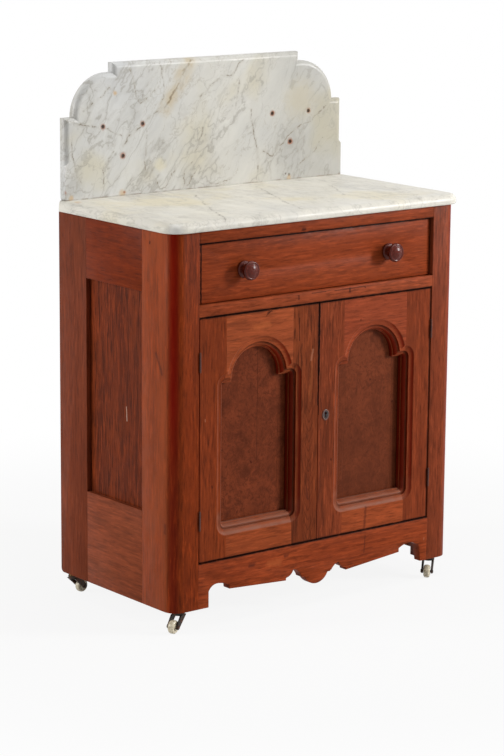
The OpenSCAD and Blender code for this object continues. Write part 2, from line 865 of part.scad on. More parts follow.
module knob(side) {
    color(knob_wood) at_case() on_side(side)
        translate([knob_gap / 2, drawer_y0, (drawer_z0 + drawer_z1) / 2])
            rotate([90, 0, 0]) union() {
                rotate_extrude($fn = 96) knob_section();
                translate([0, 0, -drawer_front_t]) cylinder(r = knob_peg_r, h = drawer_front_t + 1, $fn = 64);
            }
}

// ---------- doors (right-hand, unless a side is given) ----------

door_tenon_l = 30;
door_tenon_y = door_recess + door_t / 2;

// The arched part of the opening, drawn in x and z
module frame_opening() {
    translate([door_cx - arch_r, shoulder_z - 1]) square([2 * arch_r, shoulder_drop + 1]);
    translate([door_cx, arch_z]) circle(arch_r, $fn = 160);
}

module door_tenons(z0, z1, grow) {
    for (x = [[door_x0 + stile_w - door_tenon_l, door_x0 + stile_w],
              [door_x1 - stile_w, door_x1 - stile_w + door_tenon_l]])
        tenon_x(x[0], x[1], door_tenon_y, z0, z1, grow);
}

bottom_tenon_z = [door_z0 + 14, panel_z0 - mould_w - 4];
top_tenon_z = [arch_z + arch_r + mould_w + 4, door_z1 - 14];

module stile_blank(x0) {
    difference() {
        block([x0, door_recess, door_z0], [x0 + stile_w, door_back, door_z1]);
        mould_sides();
        door_tenons(bottom_tenon_z[0], bottom_tenon_z[1], fit);
        door_tenons(top_tenon_z[0], top_tenon_z[1], fit);
    }
}

lock_y0 = door_back - lock_t;
lock_bolt_y = lock_y0 + lock_t / 2;

module lock_case_space(grow) {
    block([door_x0 - (grow > 0 ? cut : 0), lock_y0 - grow, lock_z - lock_h / 2 - grow],
          [door_x0 + lock_w + grow, door_back + (grow > 0 ? cut : 0), lock_z + lock_h / 2 + grow]);
}

module keyhole() {
    translate([door_x0 + keyhole_inset, lock_z]) union() {
        translate([0, 3]) circle(2.8, $fn = 48);
        translate([-1.4, -6]) square([2.8, 9]);
    }
}

module outer_stile(side) {
    color(walnut) at_case() on_side(side) stile_blank(door_x1 - stile_w);
}

module right_inner_stile() {
    color(walnut) at_case() difference() {
        stile_blank(door_x0);
        lock_case_space(fit);
        plate_xz(door_recess - cut, lock_y0 + cut) keyhole();
    }
}

lock_mortise = lock_travel + 1.5;

module left_inner_stile() {
    color(walnut) at_case() difference() {
        on_side(LEFT) stile_blank(door_x0);
        block([-door_x0 - lock_mortise, lock_bolt_y - lock_bolt_t / 2 - 0.6,
               lock_z - lock_bolt_w / 2 - 0.6],
              [-door_x0 + cut, lock_bolt_y + lock_bolt_t / 2 + 0.6,
               lock_z + lock_bolt_w / 2 + 0.6]);
    }
}

module top_rail(side) {
    color(walnut) at_case() on_side(side) difference() {
        union() {
            block([door_x0 + stile_w, door_recess, shoulder_z],
                  [door_x1 - stile_w, door_back, door_z1]);
            door_tenons(top_tenon_z[0], top_tenon_z[1], 0);
        }
        plate_xz(door_recess - cut, door_back + cut) frame_opening();
        mould_sides();
        mould_arch();
    }
}

module bottom_rail(side) {
    color(walnut) at_case() on_side(side) difference() {
        union() {
            block([door_x0 + stile_w, door_recess, door_z0],
                  [door_x1 - stile_w, door_back, panel_z0]);
            door_tenons(bottom_tenon_z[0], bottom_tenon_z[1], 0);
        }
        mould_sides();
    }
}

// The panel is planted on the back of the frame
module door_panel(side) {
    color(burl) at_case() on_side(side)
        block([door_cx - opening_hw - panel_lap, door_back, panel_z0 - panel_lap],
              [door_cx + opening_hw + panel_lap, door_back + panel_t,
               arch_z + arch_r + panel_lap]);
}

// ---------- door moulding, worked in the frame ----------

// Section of the wood that is cut away: x runs inwards from the moulding's outer edge,
// y stands out of the face of the frame
hollow_w = sqrt(pow(hollow_r, 2) - pow(hollow_r - hollow_d, 2));
round_x = hollow_w + quirk_w;

module mould_section() {
    union() {
        intersection() {
            translate([hollow_w, hollow_r - hollow_d]) circle(hollow_r, $fn = 96);
            translate([0, -hollow_d - cut]) square([hollow_w + cut / 2, hollow_d + 2 * cut]);
        }
        difference() {
            translate([hollow_w, -inner_flat_d])
                square([mould_w + cut - hollow_w, inner_flat_d + cut]);
            translate([round_x, -quirk_d - round_r]) circle(round_r, $fn = 96);
            translate([hollow_w - cut, -inner_flat_d - cut])
                square([quirk_w + cut, inner_flat_d + cut - quirk_d]);
            translate([round_x - cut, -inner_flat_d - cut])
                square([round_r + cut, inner_flat_d + cut - quirk_d - round_r]);
        }
    }
}

// Puts its children, drawn flat, on the face of the right-hand door
module at_door_face() {
    translate([door_cx, door_recess, 0]) rotate([90, 0, 0]) children();
}

// A straight length, from a point and in a direction, with the opening on its left
module mould_run(from, angle, length) {
    translate([from[0], from[1], 0]) rotate(angle) rotate([90, 0, 90])
        linear_extrude(length) mould_section();
}

// A turn to the left about a centre
module mould_turn(centre, radius, start, angle) {
    translate([centre[0], centre[1], 0]) rotate(start)
        rotate_extrude(angle = angle, $fn = 192)
            translate([radius, 0]) mirror([1, 0]) mould_section();
}

// The cut along the lower edge, both sides and the shoulders
module mould_sides() {
    r = mould_corner_r;
    half = opening_hw + mould_w;
    x = half - r;
    z0 = panel_z0 - mould_w;
    z1 = shoulder_z + mould_w;
    at_door_face() union() {
        mould_run([-x, z0], 0, 2 * x);
        mould_turn([x, z0 + r], r, -90, 90);
        mould_run([half, z0 + r], 90, z1 - z0 - 2 * r);
        mould_turn([x, z1 - r], r, 0, 90);
        mould_run([x, z1], 180, 2 * x);
        mould_turn([-x, z1 - r], r, 90, 90);
        mould_run([-half, z1 - r], 270, z1 - z0 - 2 * r);
        mould_turn([-x, z0 + r], r, 180, 90);
    }
}

// The cut along the arch and its two short straight legs
module mould_arch() {
    r = arch_r + mould_w;
    leg = shoulder_drop + cut;
    at_door_face() union() {
        mould_run([r, arch_z - leg], 90, leg);
        mould_turn([0, arch_z], r, 0, 180);
        mould_run([-r, arch_z], 270, leg);
    }
}

// ---------- hinges (right-hand) ----------

// Knuckles from z0 to z1, with the web that joins them to their leaf
module knuckle(z0, z1, leaf_x) {
    translate([hinge_x, hinge_y, z0]) cylinder(r = knuckle_r, h = z1 - z0, $fn = 48);
    block([leaf_x, hinge_y, z0], [leaf_x + leaf_t, knuckle_r / 2, z1]);
}

knuckle_gap = 0.2;

module pin_bore(z) {
    translate([hinge_x, hinge_y, z - hinge_l])
        cylinder(r = hinge_pin_r + run, h = 2 * hinge_l, $fn = 48);
}

// The leaf on the post, with the upper and the lower knuckle
module frame_leaf(z) {
    x = opening_half - leaf_t;
    third = hinge_l / 3;
    difference() {
        union() {
            block([x, hinge_y + knuckle_r + 0.15, z - hinge_l / 2],
                  [x + leaf_t, leaf_w, z + hinge_l / 2]);
            knuckle(z - hinge_l / 2, z - third / 2 - knuckle_gap, x);
            knuckle(z + third / 2 + knuckle_gap, z + hinge_l / 2, x);
        }
        pin_bore(z);
    }
}

// The leaf on the door, with the middle knuckle
module door_leaf(z) {
    x = opening_half - hinge_gap;
    third = hinge_l / 3;
    difference() {
        union() {
            block([x, hinge_y + knuckle_r + 0.15, z - hinge_l / 2],
                  [x + leaf_t, leaf_w, z + hinge_l / 2]);
            knuckle(z - third / 2, z + third / 2, x);
        }
        pin_bore(z);
    }
}

module hinge_frame_leaves() {
    color(iron) at_case() for (side = [LEFT, RIGHT]) on_side(side)
        for (z = hinge_zs) frame_leaf(z);
}

module door_leaves(side) {
    color(iron) at_case() on_side(side) for (z = hinge_zs) door_leaf(z);
}

module hinge_pins() {
    head = 1.5;
    color(iron) at_case() for (side = [LEFT, RIGHT]) on_side(side)
        for (z = hinge_zs) translate([hinge_x, hinge_y, z]) {
            translate([0, 0, -hinge_l / 2 - 0.1])
                cylinder(r = hinge_pin_r, h = hinge_l + 0.2, $fn = 48);
            for (end = [-hinge_l / 2 - head - 0.1, hinge_l / 2 + 0.1])
                translate([0, 0, end]) cylinder(r = knuckle_r - 0.4, h = head, $fn = 48);
        }
}

// ---------- lock on the right door ----------

lock_slot_l = lock_w - 10;

module lock_case() {
    color(iron) at_case() difference() {
        lock_case_space(0);
        block([door_x0 - cut, lock_bolt_y - lock_bolt_t / 2 - seat,
               lock_z - lock_bolt_w / 2 - seat],
              [door_x0 + lock_slot_l, lock_bolt_y + lock_bolt_t / 2 + seat,
               lock_z + lock_bolt_w / 2 + seat]);
        plate_xz(lock_y0 - cut, lock_bolt_y - lock_bolt_t / 2) keyhole();
    }
}

module lock_bolt() {
    color(brass) at_case()
        block([door_x0 + seat, lock_bolt_y - lock_bolt_t / 2, lock_z - lock_bolt_w / 2],
              [door_x0 + lock_slot_l - seat, lock_bolt_y + lock_bolt_t / 2,
               lock_z + lock_bolt_w / 2]);
}

escutcheon_r = 8;
escutcheon_t = 1.2;

module escutcheon() {
    color(iron) at_case() plate_xz(door_recess - escutcheon_t, door_recess) difference() {
        translate([door_x0 + keyhole_inset, lock_z]) union() {
            for (z = [-2.5, 2.5]) translate([0, z]) circle(escutcheon_r, $fn = 64);
            translate([-escutcheon_r, -2.5]) square([2 * escutcheon_r, 5]);
        }
        keyhole();
    }
}

// ---------- bolt on the back of the left door ----------

bolt_plate_t = 1.5;
guide_h = 12;
bolt_guides_z = [rod_z0 + 8, door_z1 - guide_h - 6];

module bolt_barrel() {
    half = rod_r + 2;
    color(iron) at_case() difference() {
        union() {
            block([-rod_x - 9, door_back, rod_z0], [-rod_x + 9, door_back + bolt_plate_t, door_z1 - 2]);
            for (z = bolt_guides_z)
                block([-rod_x - half, door_back + bolt_plate_t - 0.5, z],
                      [-rod_x + half, rod_y + half, z + guide_h]);
        }
        translate([-rod_x, rod_y, rod_z0 - cut])
            cylinder(r = rod_r + run, h = rod_l + 2 * cut, $fn = 48);
    }
}

module bolt_rod() {
    grip_z = (bolt_guides_z[0] + guide_h + bolt_guides_z[1]) / 2 - rod_travel / 2;
    color(iron) at_case() union() {
        translate([-rod_x, rod_y, rod_z0]) cylinder(r = rod_r, h = rod_l - 1, $fn = 48);
        translate([-rod_x, rod_y + rod_r + 9, grip_z]) rotate([90, 0, 0])
            cylinder(r = 2.2, h = rod_r + 9, $fn = 32);
        translate([-rod_x, rod_y + rod_r + 9, grip_z]) sphere(3.4, $fn = 32);
    }
}

// ---------- casters ----------

// Puts its children on a swivel, turned to its heading
module at_swivel(place) {
    at_case() translate([place[0], place[1], 0]) rotate(place[2]) children();
}

module caster_sockets() {
    color(brass) for (place = casters)
        at_swivel(place) difference() {
            union() {
                translate([0, 0, -plate_t]) cylinder(r = plate_r, h = plate_t, $fn = 64);
                cylinder(r = socket_r - fit, h = stem_l + 2, $fn = 48);
            }
            translate([0, 0, -plate_t - cut])
                cylinder(r = stem_r + run, h = plate_t + stem_l + 1 + cut, $fn = 48);
        }
}

// An arm of the fork, drawn along the heading and down
module fork_arm_outline() {
    top = 1 - plate_t - seat - crown_t;
    polygon([[-9, top], [10, top], [trail + 4.4, axle_z + 1.2], [trail - 3.6, axle_z - 2.6]]);
    translate([trail, axle_z]) circle(4.6, $fn = 48);
}

module caster_fork(place) {
    color(iron) at_swivel(place) {
        difference() {
            union() {
                translate([0, 0, -plate_t - seat - crown_t])
                    cylinder(r = arm_in + arm_t, h = crown_t, $fn = 64);
                translate([0, 0, -plate_t - seat - 1])
                    cylinder(r = stem_r, h = plate_t + stem_l + seat + 1, $fn = 48);
                for (s = [-arm_in - arm_t, arm_in])
                    translate([0, s + arm_t, 0]) rotate([90, 0, 0])
                        linear_extrude(arm_t) fork_arm_outline();
            }
            translate([trail, 0, axle_z]) rotate([90, 0, 0])
                cylinder(r = axle_r + run, h = 4 * arm_in, center = true, $fn = 48);
        }
        // the axle, riveted over at both ends
        translate([trail, 0, axle_z]) rotate([90, 0, 0]) {
            cylinder(r = axle_r, h = 2 * (arm_in + arm_t + 0.7), center = true, $fn = 48);
            for (s = [-1, 1]) translate([0, 0, s * (arm_in + arm_t + 0.7)])
                cylinder(r = axle_r + 1.2, h = 1, center = true, $fn = 48);
        }
    }
}

// Half section of a wheel: rounded tread and a raised hub on each side
module wheel_section() {
    bulge = 1.2;
    half = wheel_w / 2;
    polygon([
        [axle_r + run, -half - 0.8], [5, -half - 0.8], [5.6, -half], [wheel_r - 3, -half],
        [wheel_r - bulge, -half + 1.2], [wheel_r - 0.3, -half + 3], [wheel_r, 0],
        [wheel_r - 0.3, half - 3], [wheel_r - bulge, half - 1.2], [wheel_r - 3, half],
        [5.6, half], [5, half + 0.8], [axle_r + run, half + 0.8]]);
}

module caster_wheel(place) {
    color(ceramic) at_swivel(place)
        translate([trail, 0, axle_z]) rotate([90, 0, 0])
            rotate_extrude($fn = 96) wheel_section();
}

// ---------- the pieces ----------

marble_top();
backsplash();
backsplash_pins();
front_post(LEFT);  // front_post_left
front_post(RIGHT);  // front_post_right
rear_stile(LEFT);  // rear_stile_left
rear_stile(RIGHT);  // rear_stile_right
side_rail(LEFT, panel_top, case_h);  // side_top_rail_left
side_rail(RIGHT, panel_top, case_h);  // side_top_rail_right
side_rail(LEFT, 0, side_bottom_rail_h);  // side_bottom_rail_left
side_rail(RIGHT, 0, side_bottom_rail_h);  // side_bottom_rail_right
side_panel(LEFT);  // side_panel_left
side_panel(RIGHT);  // side_panel_right
front_top_rail();
divider_rail();
apron();
back_boards();
cupboard_floor();
floor_cleats();
drawer_runners();
drawer_guides();
drawer_kickers();
drawer_front();
drawer_side(LEFT);  // drawer_side_left
drawer_side(RIGHT);  // drawer_side_right
drawer_back();
drawer_bottom();
knob(LEFT);  // knob_left
knob(RIGHT);  // knob_right
outer_stile(LEFT);  // left_outer_stile
left_inner_stile();
top_rail(LEFT);  // left_top_rail
bottom_rail(LEFT);  // left_bottom_rail
door_panel(LEFT);  // left_panel
outer_stile(RIGHT);  // right_outer_stile
right_inner_stile();
top_rail(RIGHT);  // right_top_rail
bottom_rail(RIGHT);  // right_bottom_rail
door_panel(RIGHT);  // right_panel
hinge_frame_leaves();
door_leaves(LEFT);  // left_door_leaves
door_leaves(RIGHT);  // right_door_leaves
hinge_pins();
lock_case();
lock_bolt();
escutcheon();
bolt_barrel();
bolt_rod();
caster_sockets();
caster_fork(front_left);  // caster_fork_front_left
caster_fork(front_right);  // caster_fork_front_right
caster_fork(rear_left);  // caster_fork_rear_left
caster_fork(rear_right);  // caster_fork_rear_right
caster_wheel(front_left);  // caster_wheel_front_left
caster_wheel(front_right);  // caster_wheel_front_right
caster_wheel(rear_left);  // caster_wheel_rear_left
caster_wheel(rear_right);  // caster_wheel_rear_right
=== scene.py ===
"""Looks of the marble-top washstand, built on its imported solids. Metres; X along the front,
Y from front to back, Z up, the floor at Z = 0."""

import json
import math

import bmesh
import bpy
from mathutils import Matrix, Vector


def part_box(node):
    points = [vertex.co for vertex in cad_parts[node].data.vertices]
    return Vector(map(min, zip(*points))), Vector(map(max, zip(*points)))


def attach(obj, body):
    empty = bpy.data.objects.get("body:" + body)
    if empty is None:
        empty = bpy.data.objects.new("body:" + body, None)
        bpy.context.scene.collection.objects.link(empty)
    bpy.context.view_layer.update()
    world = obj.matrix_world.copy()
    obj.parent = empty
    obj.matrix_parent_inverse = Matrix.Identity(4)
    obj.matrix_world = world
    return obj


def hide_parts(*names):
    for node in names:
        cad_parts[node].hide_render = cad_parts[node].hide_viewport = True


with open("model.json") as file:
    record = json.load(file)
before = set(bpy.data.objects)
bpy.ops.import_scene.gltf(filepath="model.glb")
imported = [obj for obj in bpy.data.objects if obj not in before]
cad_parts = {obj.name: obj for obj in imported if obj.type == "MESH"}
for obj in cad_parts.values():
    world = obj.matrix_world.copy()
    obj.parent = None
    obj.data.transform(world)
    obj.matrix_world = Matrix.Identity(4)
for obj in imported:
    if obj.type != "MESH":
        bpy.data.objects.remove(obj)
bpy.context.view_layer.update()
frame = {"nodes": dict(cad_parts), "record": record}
NODES = frame["nodes"]
BODIES = frame["record"]["behaviour"]["bodies"]
BODY_OF = {node: body for body, nodes in BODIES.items() for node in nodes}


# ---------- sizes read from the frame ----------

TOP_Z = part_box("marble_top")[1][2]
SPLASH_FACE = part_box("backsplash")[0][1]
POST_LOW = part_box("front_post_left")[0]
CASE_X = -POST_LOW[0]               # half the width of the case
CASE_Y = POST_LOW[1]                # its front
CASE_Z = POST_LOW[2]                # its lower end
DOOR_FACE = CASE_Y + 0.001          # plane of the doors' fronts
DRAWER_FACE = CASE_Y + 0.008        # plane of the drawer's front
PANEL_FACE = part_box("left_panel")[0][1]
SIDE_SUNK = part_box("side_panel_left")[0][0]


# ---------- node materials ----------

class Nodes:
    """A material's node tree, with one short method for each kind of node that is used."""

    def __init__(self, name):
        self.material = bpy.data.materials.new(name)
        self.material.use_nodes = True
        self.tree = self.material.node_tree
        self.tree.nodes.clear()
        self.coord = self.add("ShaderNodeTexCoord").outputs["Object"]

    def add(self, kind, **values):
        node = self.tree.nodes.new(kind)
        for key, value in values.items():
            setattr(node, key, value)
        return node

    def put(self, socket, value):
        if isinstance(value, bpy.types.NodeSocket):
            self.tree.links.new(value, socket)
        elif value is not None:
            socket.default_value = value

    def mapped(self, vector=None, scale=(1, 1, 1), rotation=(0, 0, 0), location=(0, 0, 0)):
        node = self.add("ShaderNodeMapping")
        self.put(node.inputs["Vector"], vector or self.coord)
        self.put(node.inputs["Scale"], scale)
        self.put(node.inputs["Rotation"], rotation)
        self.put(node.inputs["Location"], location)
        return node.outputs["Vector"]

    def noise(self, vector, scale, detail=4.0, rough=0.55, distortion=0.0, colour=False):
        node = self.add("ShaderNodeTexNoise")
        self.put(node.inputs["Vector"], vector)
        self.put(node.inputs["Scale"], scale)
        self.put(node.inputs["Detail"], detail)
        self.put(node.inputs["Roughness"], rough)
        self.put(node.inputs["Distortion"], distortion)
        return node.outputs["Color" if colour else "Fac"]

    def cells(self, vector, scale, feature="DISTANCE_TO_EDGE", jitter=1.0):
        node = self.add("ShaderNodeTexVoronoi", feature=feature)
        self.put(node.inputs["Vector"], vector)
        self.put(node.inputs["Scale"], scale)
        self.put(node.inputs["Randomness"], jitter)
        return node.outputs["Distance"]

    def math(self, operation, a, b=None, clamp=False):
        node = self.add("ShaderNodeMath", operation=operation, use_clamp=clamp)
        self.put(node.inputs[0], a)
        self.put(node.inputs[1], b)
        return node.outputs[0]

    def vector(self, operation, a, b=None, output=0):
        node = self.add("ShaderNodeVectorMath", operation=operation)
        self.put(node.inputs[0], a)
        self.put(node.inputs[1], b)
        return node.outputs[output]

    def scaled(self, vector, factor):
        node = self.add("ShaderNodeVectorMath", operation="SCALE")
        self.put(node.inputs[0], vector)
        self.put(node.inputs["Scale"], factor)
        return node.outputs[0]

    def shifted(self, vector, noise, amount):
        """The vector, pushed about by a colour noise that is 0.5 on average."""
        return self.vector("ADD", vector, self.scaled(
            self.vector("SUBTRACT", noise, (0.5, 0.5, 0.5)), amount))

    def remap(self, value, low, high, to_low=0.0, to_high=1.0):
        node = self.add("ShaderNodeMapRange", interpolation_type="SMOOTHSTEP")
        for name, number in (("Value", value), ("From Min", low), ("From Max", high),
                             ("To Min", to_low), ("To Max", to_high)):
            self.put(node.inputs[name], number)
        return node.outputs["Result"]

    def ramp(self, value, stops):
        node = self.add("ShaderNodeValToRGB")
        elements = node.color_ramp.elements
        while len(elements) < len(stops):
            elements.new(0.5)
        for element, (place, colour) in zip(elements, stops):
            element.position = place
            element.color = (*colour, 1.0)
        self.put(node.inputs["Fac"], value)
        return node.outputs["Color"]

    def mix(self, factor, a, b, blend="MIX"):
        node = self.add("ShaderNodeMix", data_type="RGBA", blend_type=blend)
        self.put(node.inputs["Factor"], factor)
        self.put(node.inputs["A"], (*a, 1.0) if isinstance(a, tuple) else a)
        self.put(node.inputs["B"], (*b, 1.0) if isinstance(b, tuple) else b)
        return node.outputs["Result"]

    def bump(self, height, distance, strength=1.0, normal=None):
        node = self.add("ShaderNodeBump")
        self.put(node.inputs["Height"], height)
        self.put(node.inputs["Distance"], distance)
        self.put(node.inputs["Strength"], strength)
        if normal is not None:
            self.put(node.inputs["Normal"], normal)
        return node.outputs["Normal"]

    def surface(self, colour, roughness, normal=None, **values):
        shader = self.add("ShaderNodeBsdfPrincipled")
        self.put(shader.inputs["Base Color"], (*colour, 1.0) if isinstance(colour, tuple) else colour)
        self.put(shader.inputs["Roughness"], roughness)
        for key, value in values.items():
            self.put(shader.inputs[key.replace("_", " ")], value)
        if normal is not None:
            self.put(shader.inputs["Normal"], normal)
        output = self.add("ShaderNodeOutputMaterial")
        self.put(output.inputs["Surface"], shader.outputs["BSDF"])
        return self.material


def srgb(r, g, b):
    """Linear colour of an sRGB colour given in 0 to 255."""
    def one(value):
        value /= 255.0
        return value / 12.92 if value <= 0.04045 else ((value + 0.055) / 1.055) ** 2.4
    return (one(r), one(g), one(b))


def shade(colour, factor):
    return tuple(min(1.0, channel * factor) for channel in colour)


# Colours of the polished wood
WOOD = {
    "drawer": srgb(138, 60, 29), "post": srgb(128, 51, 18), "post_right": srgb(124, 56, 31),
    "rail": srgb(134, 59, 30), "divider": srgb(144, 67, 37), "outer": srgb(124, 52, 22),
    "right_outer": srgb(124, 54, 27), "inner": srgb(116, 53, 26), "right_inner": srgb(124, 56, 30),
    "head": srgb(150, 72, 39), "right_head": srgb(142, 64, 37), "bottom": srgb(146, 68, 35),
    "apron": srgb(139, 60, 29), "side": srgb(113, 42, 12), "side_low": srgb(134, 66, 40),
    "rear": srgb(114, 52, 29), "side_panel": srgb(105, 43, 18), "knob": srgb(90, 25, 9),
}
AXES = {"x": 0, "y": 1, "z": 2}

# Marks of age, and 'gap', which is painted shadow: colour, how strongly they cover, and the share of
# their radius that is solid
MARK_KINDS = {
    "scratch": (srgb(214, 190, 170), 0.75, 0.3), "knot": (srgb(52, 18, 10), 0.75, 0.15),
    "crack": (srgb(40, 14, 8), 0.70, 0.2), "smudge": (srgb(74, 34, 24), 0.60, 0.1),
    "orange": (srgb(186, 98, 52), 0.40, 0.1), "pale": (srgb(170, 112, 84), 0.55, 0.1),
    "streak": (srgb(158, 86, 46), 0.34, 0.05), "gap": (srgb(14, 5, 3), 0.95, 0.5),
}


def place_of(n):
    """The three coordinates of a point, one by one."""
    split = n.add("ShaderNodeSeparateXYZ")
    n.put(split.inputs[0], n.coord)
    return split.outputs["X"], split.outputs["Y"], split.outputs["Z"]


def segment_gap(n, point, a, b):
    """Distance from a point to a straight segment."""
    a, b = Vector(a), Vector(b)
    along = b - a
    offset = n.vector("SUBTRACT", point, tuple(a))
    part = n.math("DIVIDE", n.vector("DOT_PRODUCT", offset, tuple(along), "Value"),
                  along.length_squared, clamp=True)
    return n.vector("LENGTH", n.vector("SUBTRACT", offset, n.scaled(tuple(along), part)),
                    None, "Value")


def marked(n, tone, marks):
    """Lays the marks of age, and the painted shadows of gaps, over a colour."""
    if not marks:
        return tone
    wobble = n.noise(n.coord, 110.0, 3.0, 0.6, colour=True)
    for kind, a, b, radius in marks:
        tint, amount, solid = MARK_KINDS[kind]
        gap = segment_gap(n, n.shifted(n.coord, wobble, radius * 1.6), a, b)
        tone = n.mix(n.remap(gap, radius, radius * solid, 0.0, amount), tone, tint)
    return tone


SOFT_DIRT_AND_SHADE = (0.0050, 0.0006)        # dirt and painted shade along an edge, from none to full
# near-black painted shadow of the gap at the very edge, from none to full
BLACK_GAP_SHADE = (0.0019, 0.0009)
GRAIN_STRETCH = 0.055               # how much slower the pattern changes along the grain
STREAK_STRETCH = 0.10


def wood(name, axis, colour, seed, contrast=1.0, marks=(), edges=None, chevrons=None,
         form_light_and_shade=None, gloss=0.05, roughness=0.42):
    """Polished reddish wood with its grain along an axis of the piece. edges names a node and the
    sides of its box that darken along their gaps, as dirt and as painted shade, a small letter for
    the low side and a capital for the high one. chevrons are V-shaped growth marks: middle, top,
    half width and pitch."""
    n = Nodes(name)
    shift = (seed * 0.731, seed * 0.417 + 0.3, seed * 0.253 + 0.1)
    stretch = [1.0, 1.0, 1.0]
    stretch[AXES[axis]] = GRAIN_STRETCH
    along = n.mapped(scale=tuple(stretch), location=shift)
    warp = n.noise(n.mapped(scale=tuple(0.35 + 0.65 * s for s in stretch), location=shift), 7.0,
                   2.0, 0.5, colour=True)
    bent = n.shifted(along, warp, 0.012)
    bands = n.noise(bent, 34.0, 5.0, 0.62)
    short = [1.0, 1.0, 1.0]
    short[AXES[axis]] = STREAK_STRETCH
    streaks = n.noise(n.shifted(n.mapped(scale=tuple(short), location=shift), warp, 0.012),
                      210.0, 4.0, 0.66)
    fibres = n.noise(along, 620.0, 3.0, 0.6)
    dark = shade(colour, 1.0 - 0.28 * contrast)
    light = shade(colour, 1.0 + 0.28 * contrast)
    tone = n.ramp(bands, [(0.30, dark), (0.48, colour), (0.72, light)])
    clouds = n.noise(n.mapped(scale=tuple(0.3 + 0.7 * s for s in stretch), location=shift), 17.0,
                     3.0, 0.6)
    tone = n.mix(n.remap(clouds, 0.44, 0.70, 0.0, 0.34 * contrast), tone,
                 (colour[0] * 0.78, colour[1] * 0.66, colour[2] * 0.66))
    tone = n.mix(n.remap(clouds, 0.46, 0.30, 0.0, 0.30 * contrast), tone,
                 (colour[0] * 1.22, colour[1] * 1.30, colour[2] * 1.12))
    tone = n.mix(n.remap(streaks, 0.49, 0.36, 0.0, 0.72 * contrast), tone, shade(colour, 0.50))
    tone = n.mix(n.remap(streaks, 0.53, 0.64, 0.0, 0.62 * contrast), tone, shade(colour, 1.60))
    patina = n.noise(n.mapped(location=shift), 5.0, 3.0, 0.5)
    tone = n.mix(n.remap(patina, 0.42, 0.68, 0.0, 0.22), tone, shade(colour, 0.66))
    pores = n.remap(fibres, 0.42, 0.31)
    tone = n.mix(n.math("MULTIPLY", pores, 0.60), tone, shade(colour, 0.32))
    x, y, z = place_of(n)
    if chevrons:
        middle, top, half, pitch = chevrons
        side = n.math("SUBTRACT", x, middle)
        bow = n.math("SQRT", n.math("ADD", n.math("MULTIPLY", side, side), 0.000006))
        wander = n.noise(n.mapped(scale=(1.0, 1.0, 0.5), location=shift), 60.0, 3.0, 0.6)
        phase = n.math("DIVIDE", n.math("ADD", n.math("SUBTRACT", z, n.math(
            "MULTIPLY", bow, 2.6)), n.math("MULTIPLY", wander, pitch * 0.9)), pitch)
        ring = n.remap(n.math("FRACT", phase), 0.0, 0.34, 1.0, 0.0)
        window = n.math("MULTIPLY", n.remap(bow, half, half * 0.5), n.remap(z, top, top - 0.03))
        broken = n.remap(wander, 0.36, 0.52, 0.25, 0.62)
        tone = n.mix(n.math("MULTIPLY", n.math("MULTIPLY", ring, window), broken), tone,
                     shade(colour, 0.38))
    # painted light and shade that follow the form of the piece
    if form_light_and_shade:
        tone = form_light_and_shade(n, tone, (x, y, z), colour)
    # dirt, and painted shade where the gaps between parts fall dark, down to a near-black line at the
    # rim
    if edges:
        low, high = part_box(edges[0])
        for letter in edges[1]:
            at = AXES[letter.lower()]
            rim = low[at] if letter.islower() else high[at]
            gap = n.math("ABSOLUTE", n.math("SUBTRACT", (x, y, z)[at], rim))
            dirt = n.noise(n.coord, 60.0, 3.0)
            soft = n.math("MULTIPLY", n.remap(gap, *SOFT_DIRT_AND_SHADE), n.remap(
                dirt, 0.36, 0.62, 0.15, 0.60))
            tone = n.mix(soft, tone, shade(colour, 0.34))
            black = n.math("MULTIPLY", n.remap(gap, *BLACK_GAP_SHADE), n.remap(
                dirt, 0.30, 0.50, 0.60, 0.95))
            tone = n.mix(black, tone, shade(colour, 0.06))
    tone = marked(n, tone, marks)
    height = n.math("ADD", n.math("MULTIPLY", streaks, 0.4), n.math("MULTIPLY", pores, -0.6))
    scuffs = n.noise(n.mapped(location=shift), 38.0, 4.0, 0.7)
    rough = n.math("ADD", n.remap(scuffs, 0.35, 0.75, -0.05, 0.10), roughness)
    return n.surface(tone, rough, n.bump(height, 0.00025, 0.6), Specular_IOR_Level=gloss)


DIM_Z = (0.43, 0.30)                # a dimmed panel darkens from the first height to the second


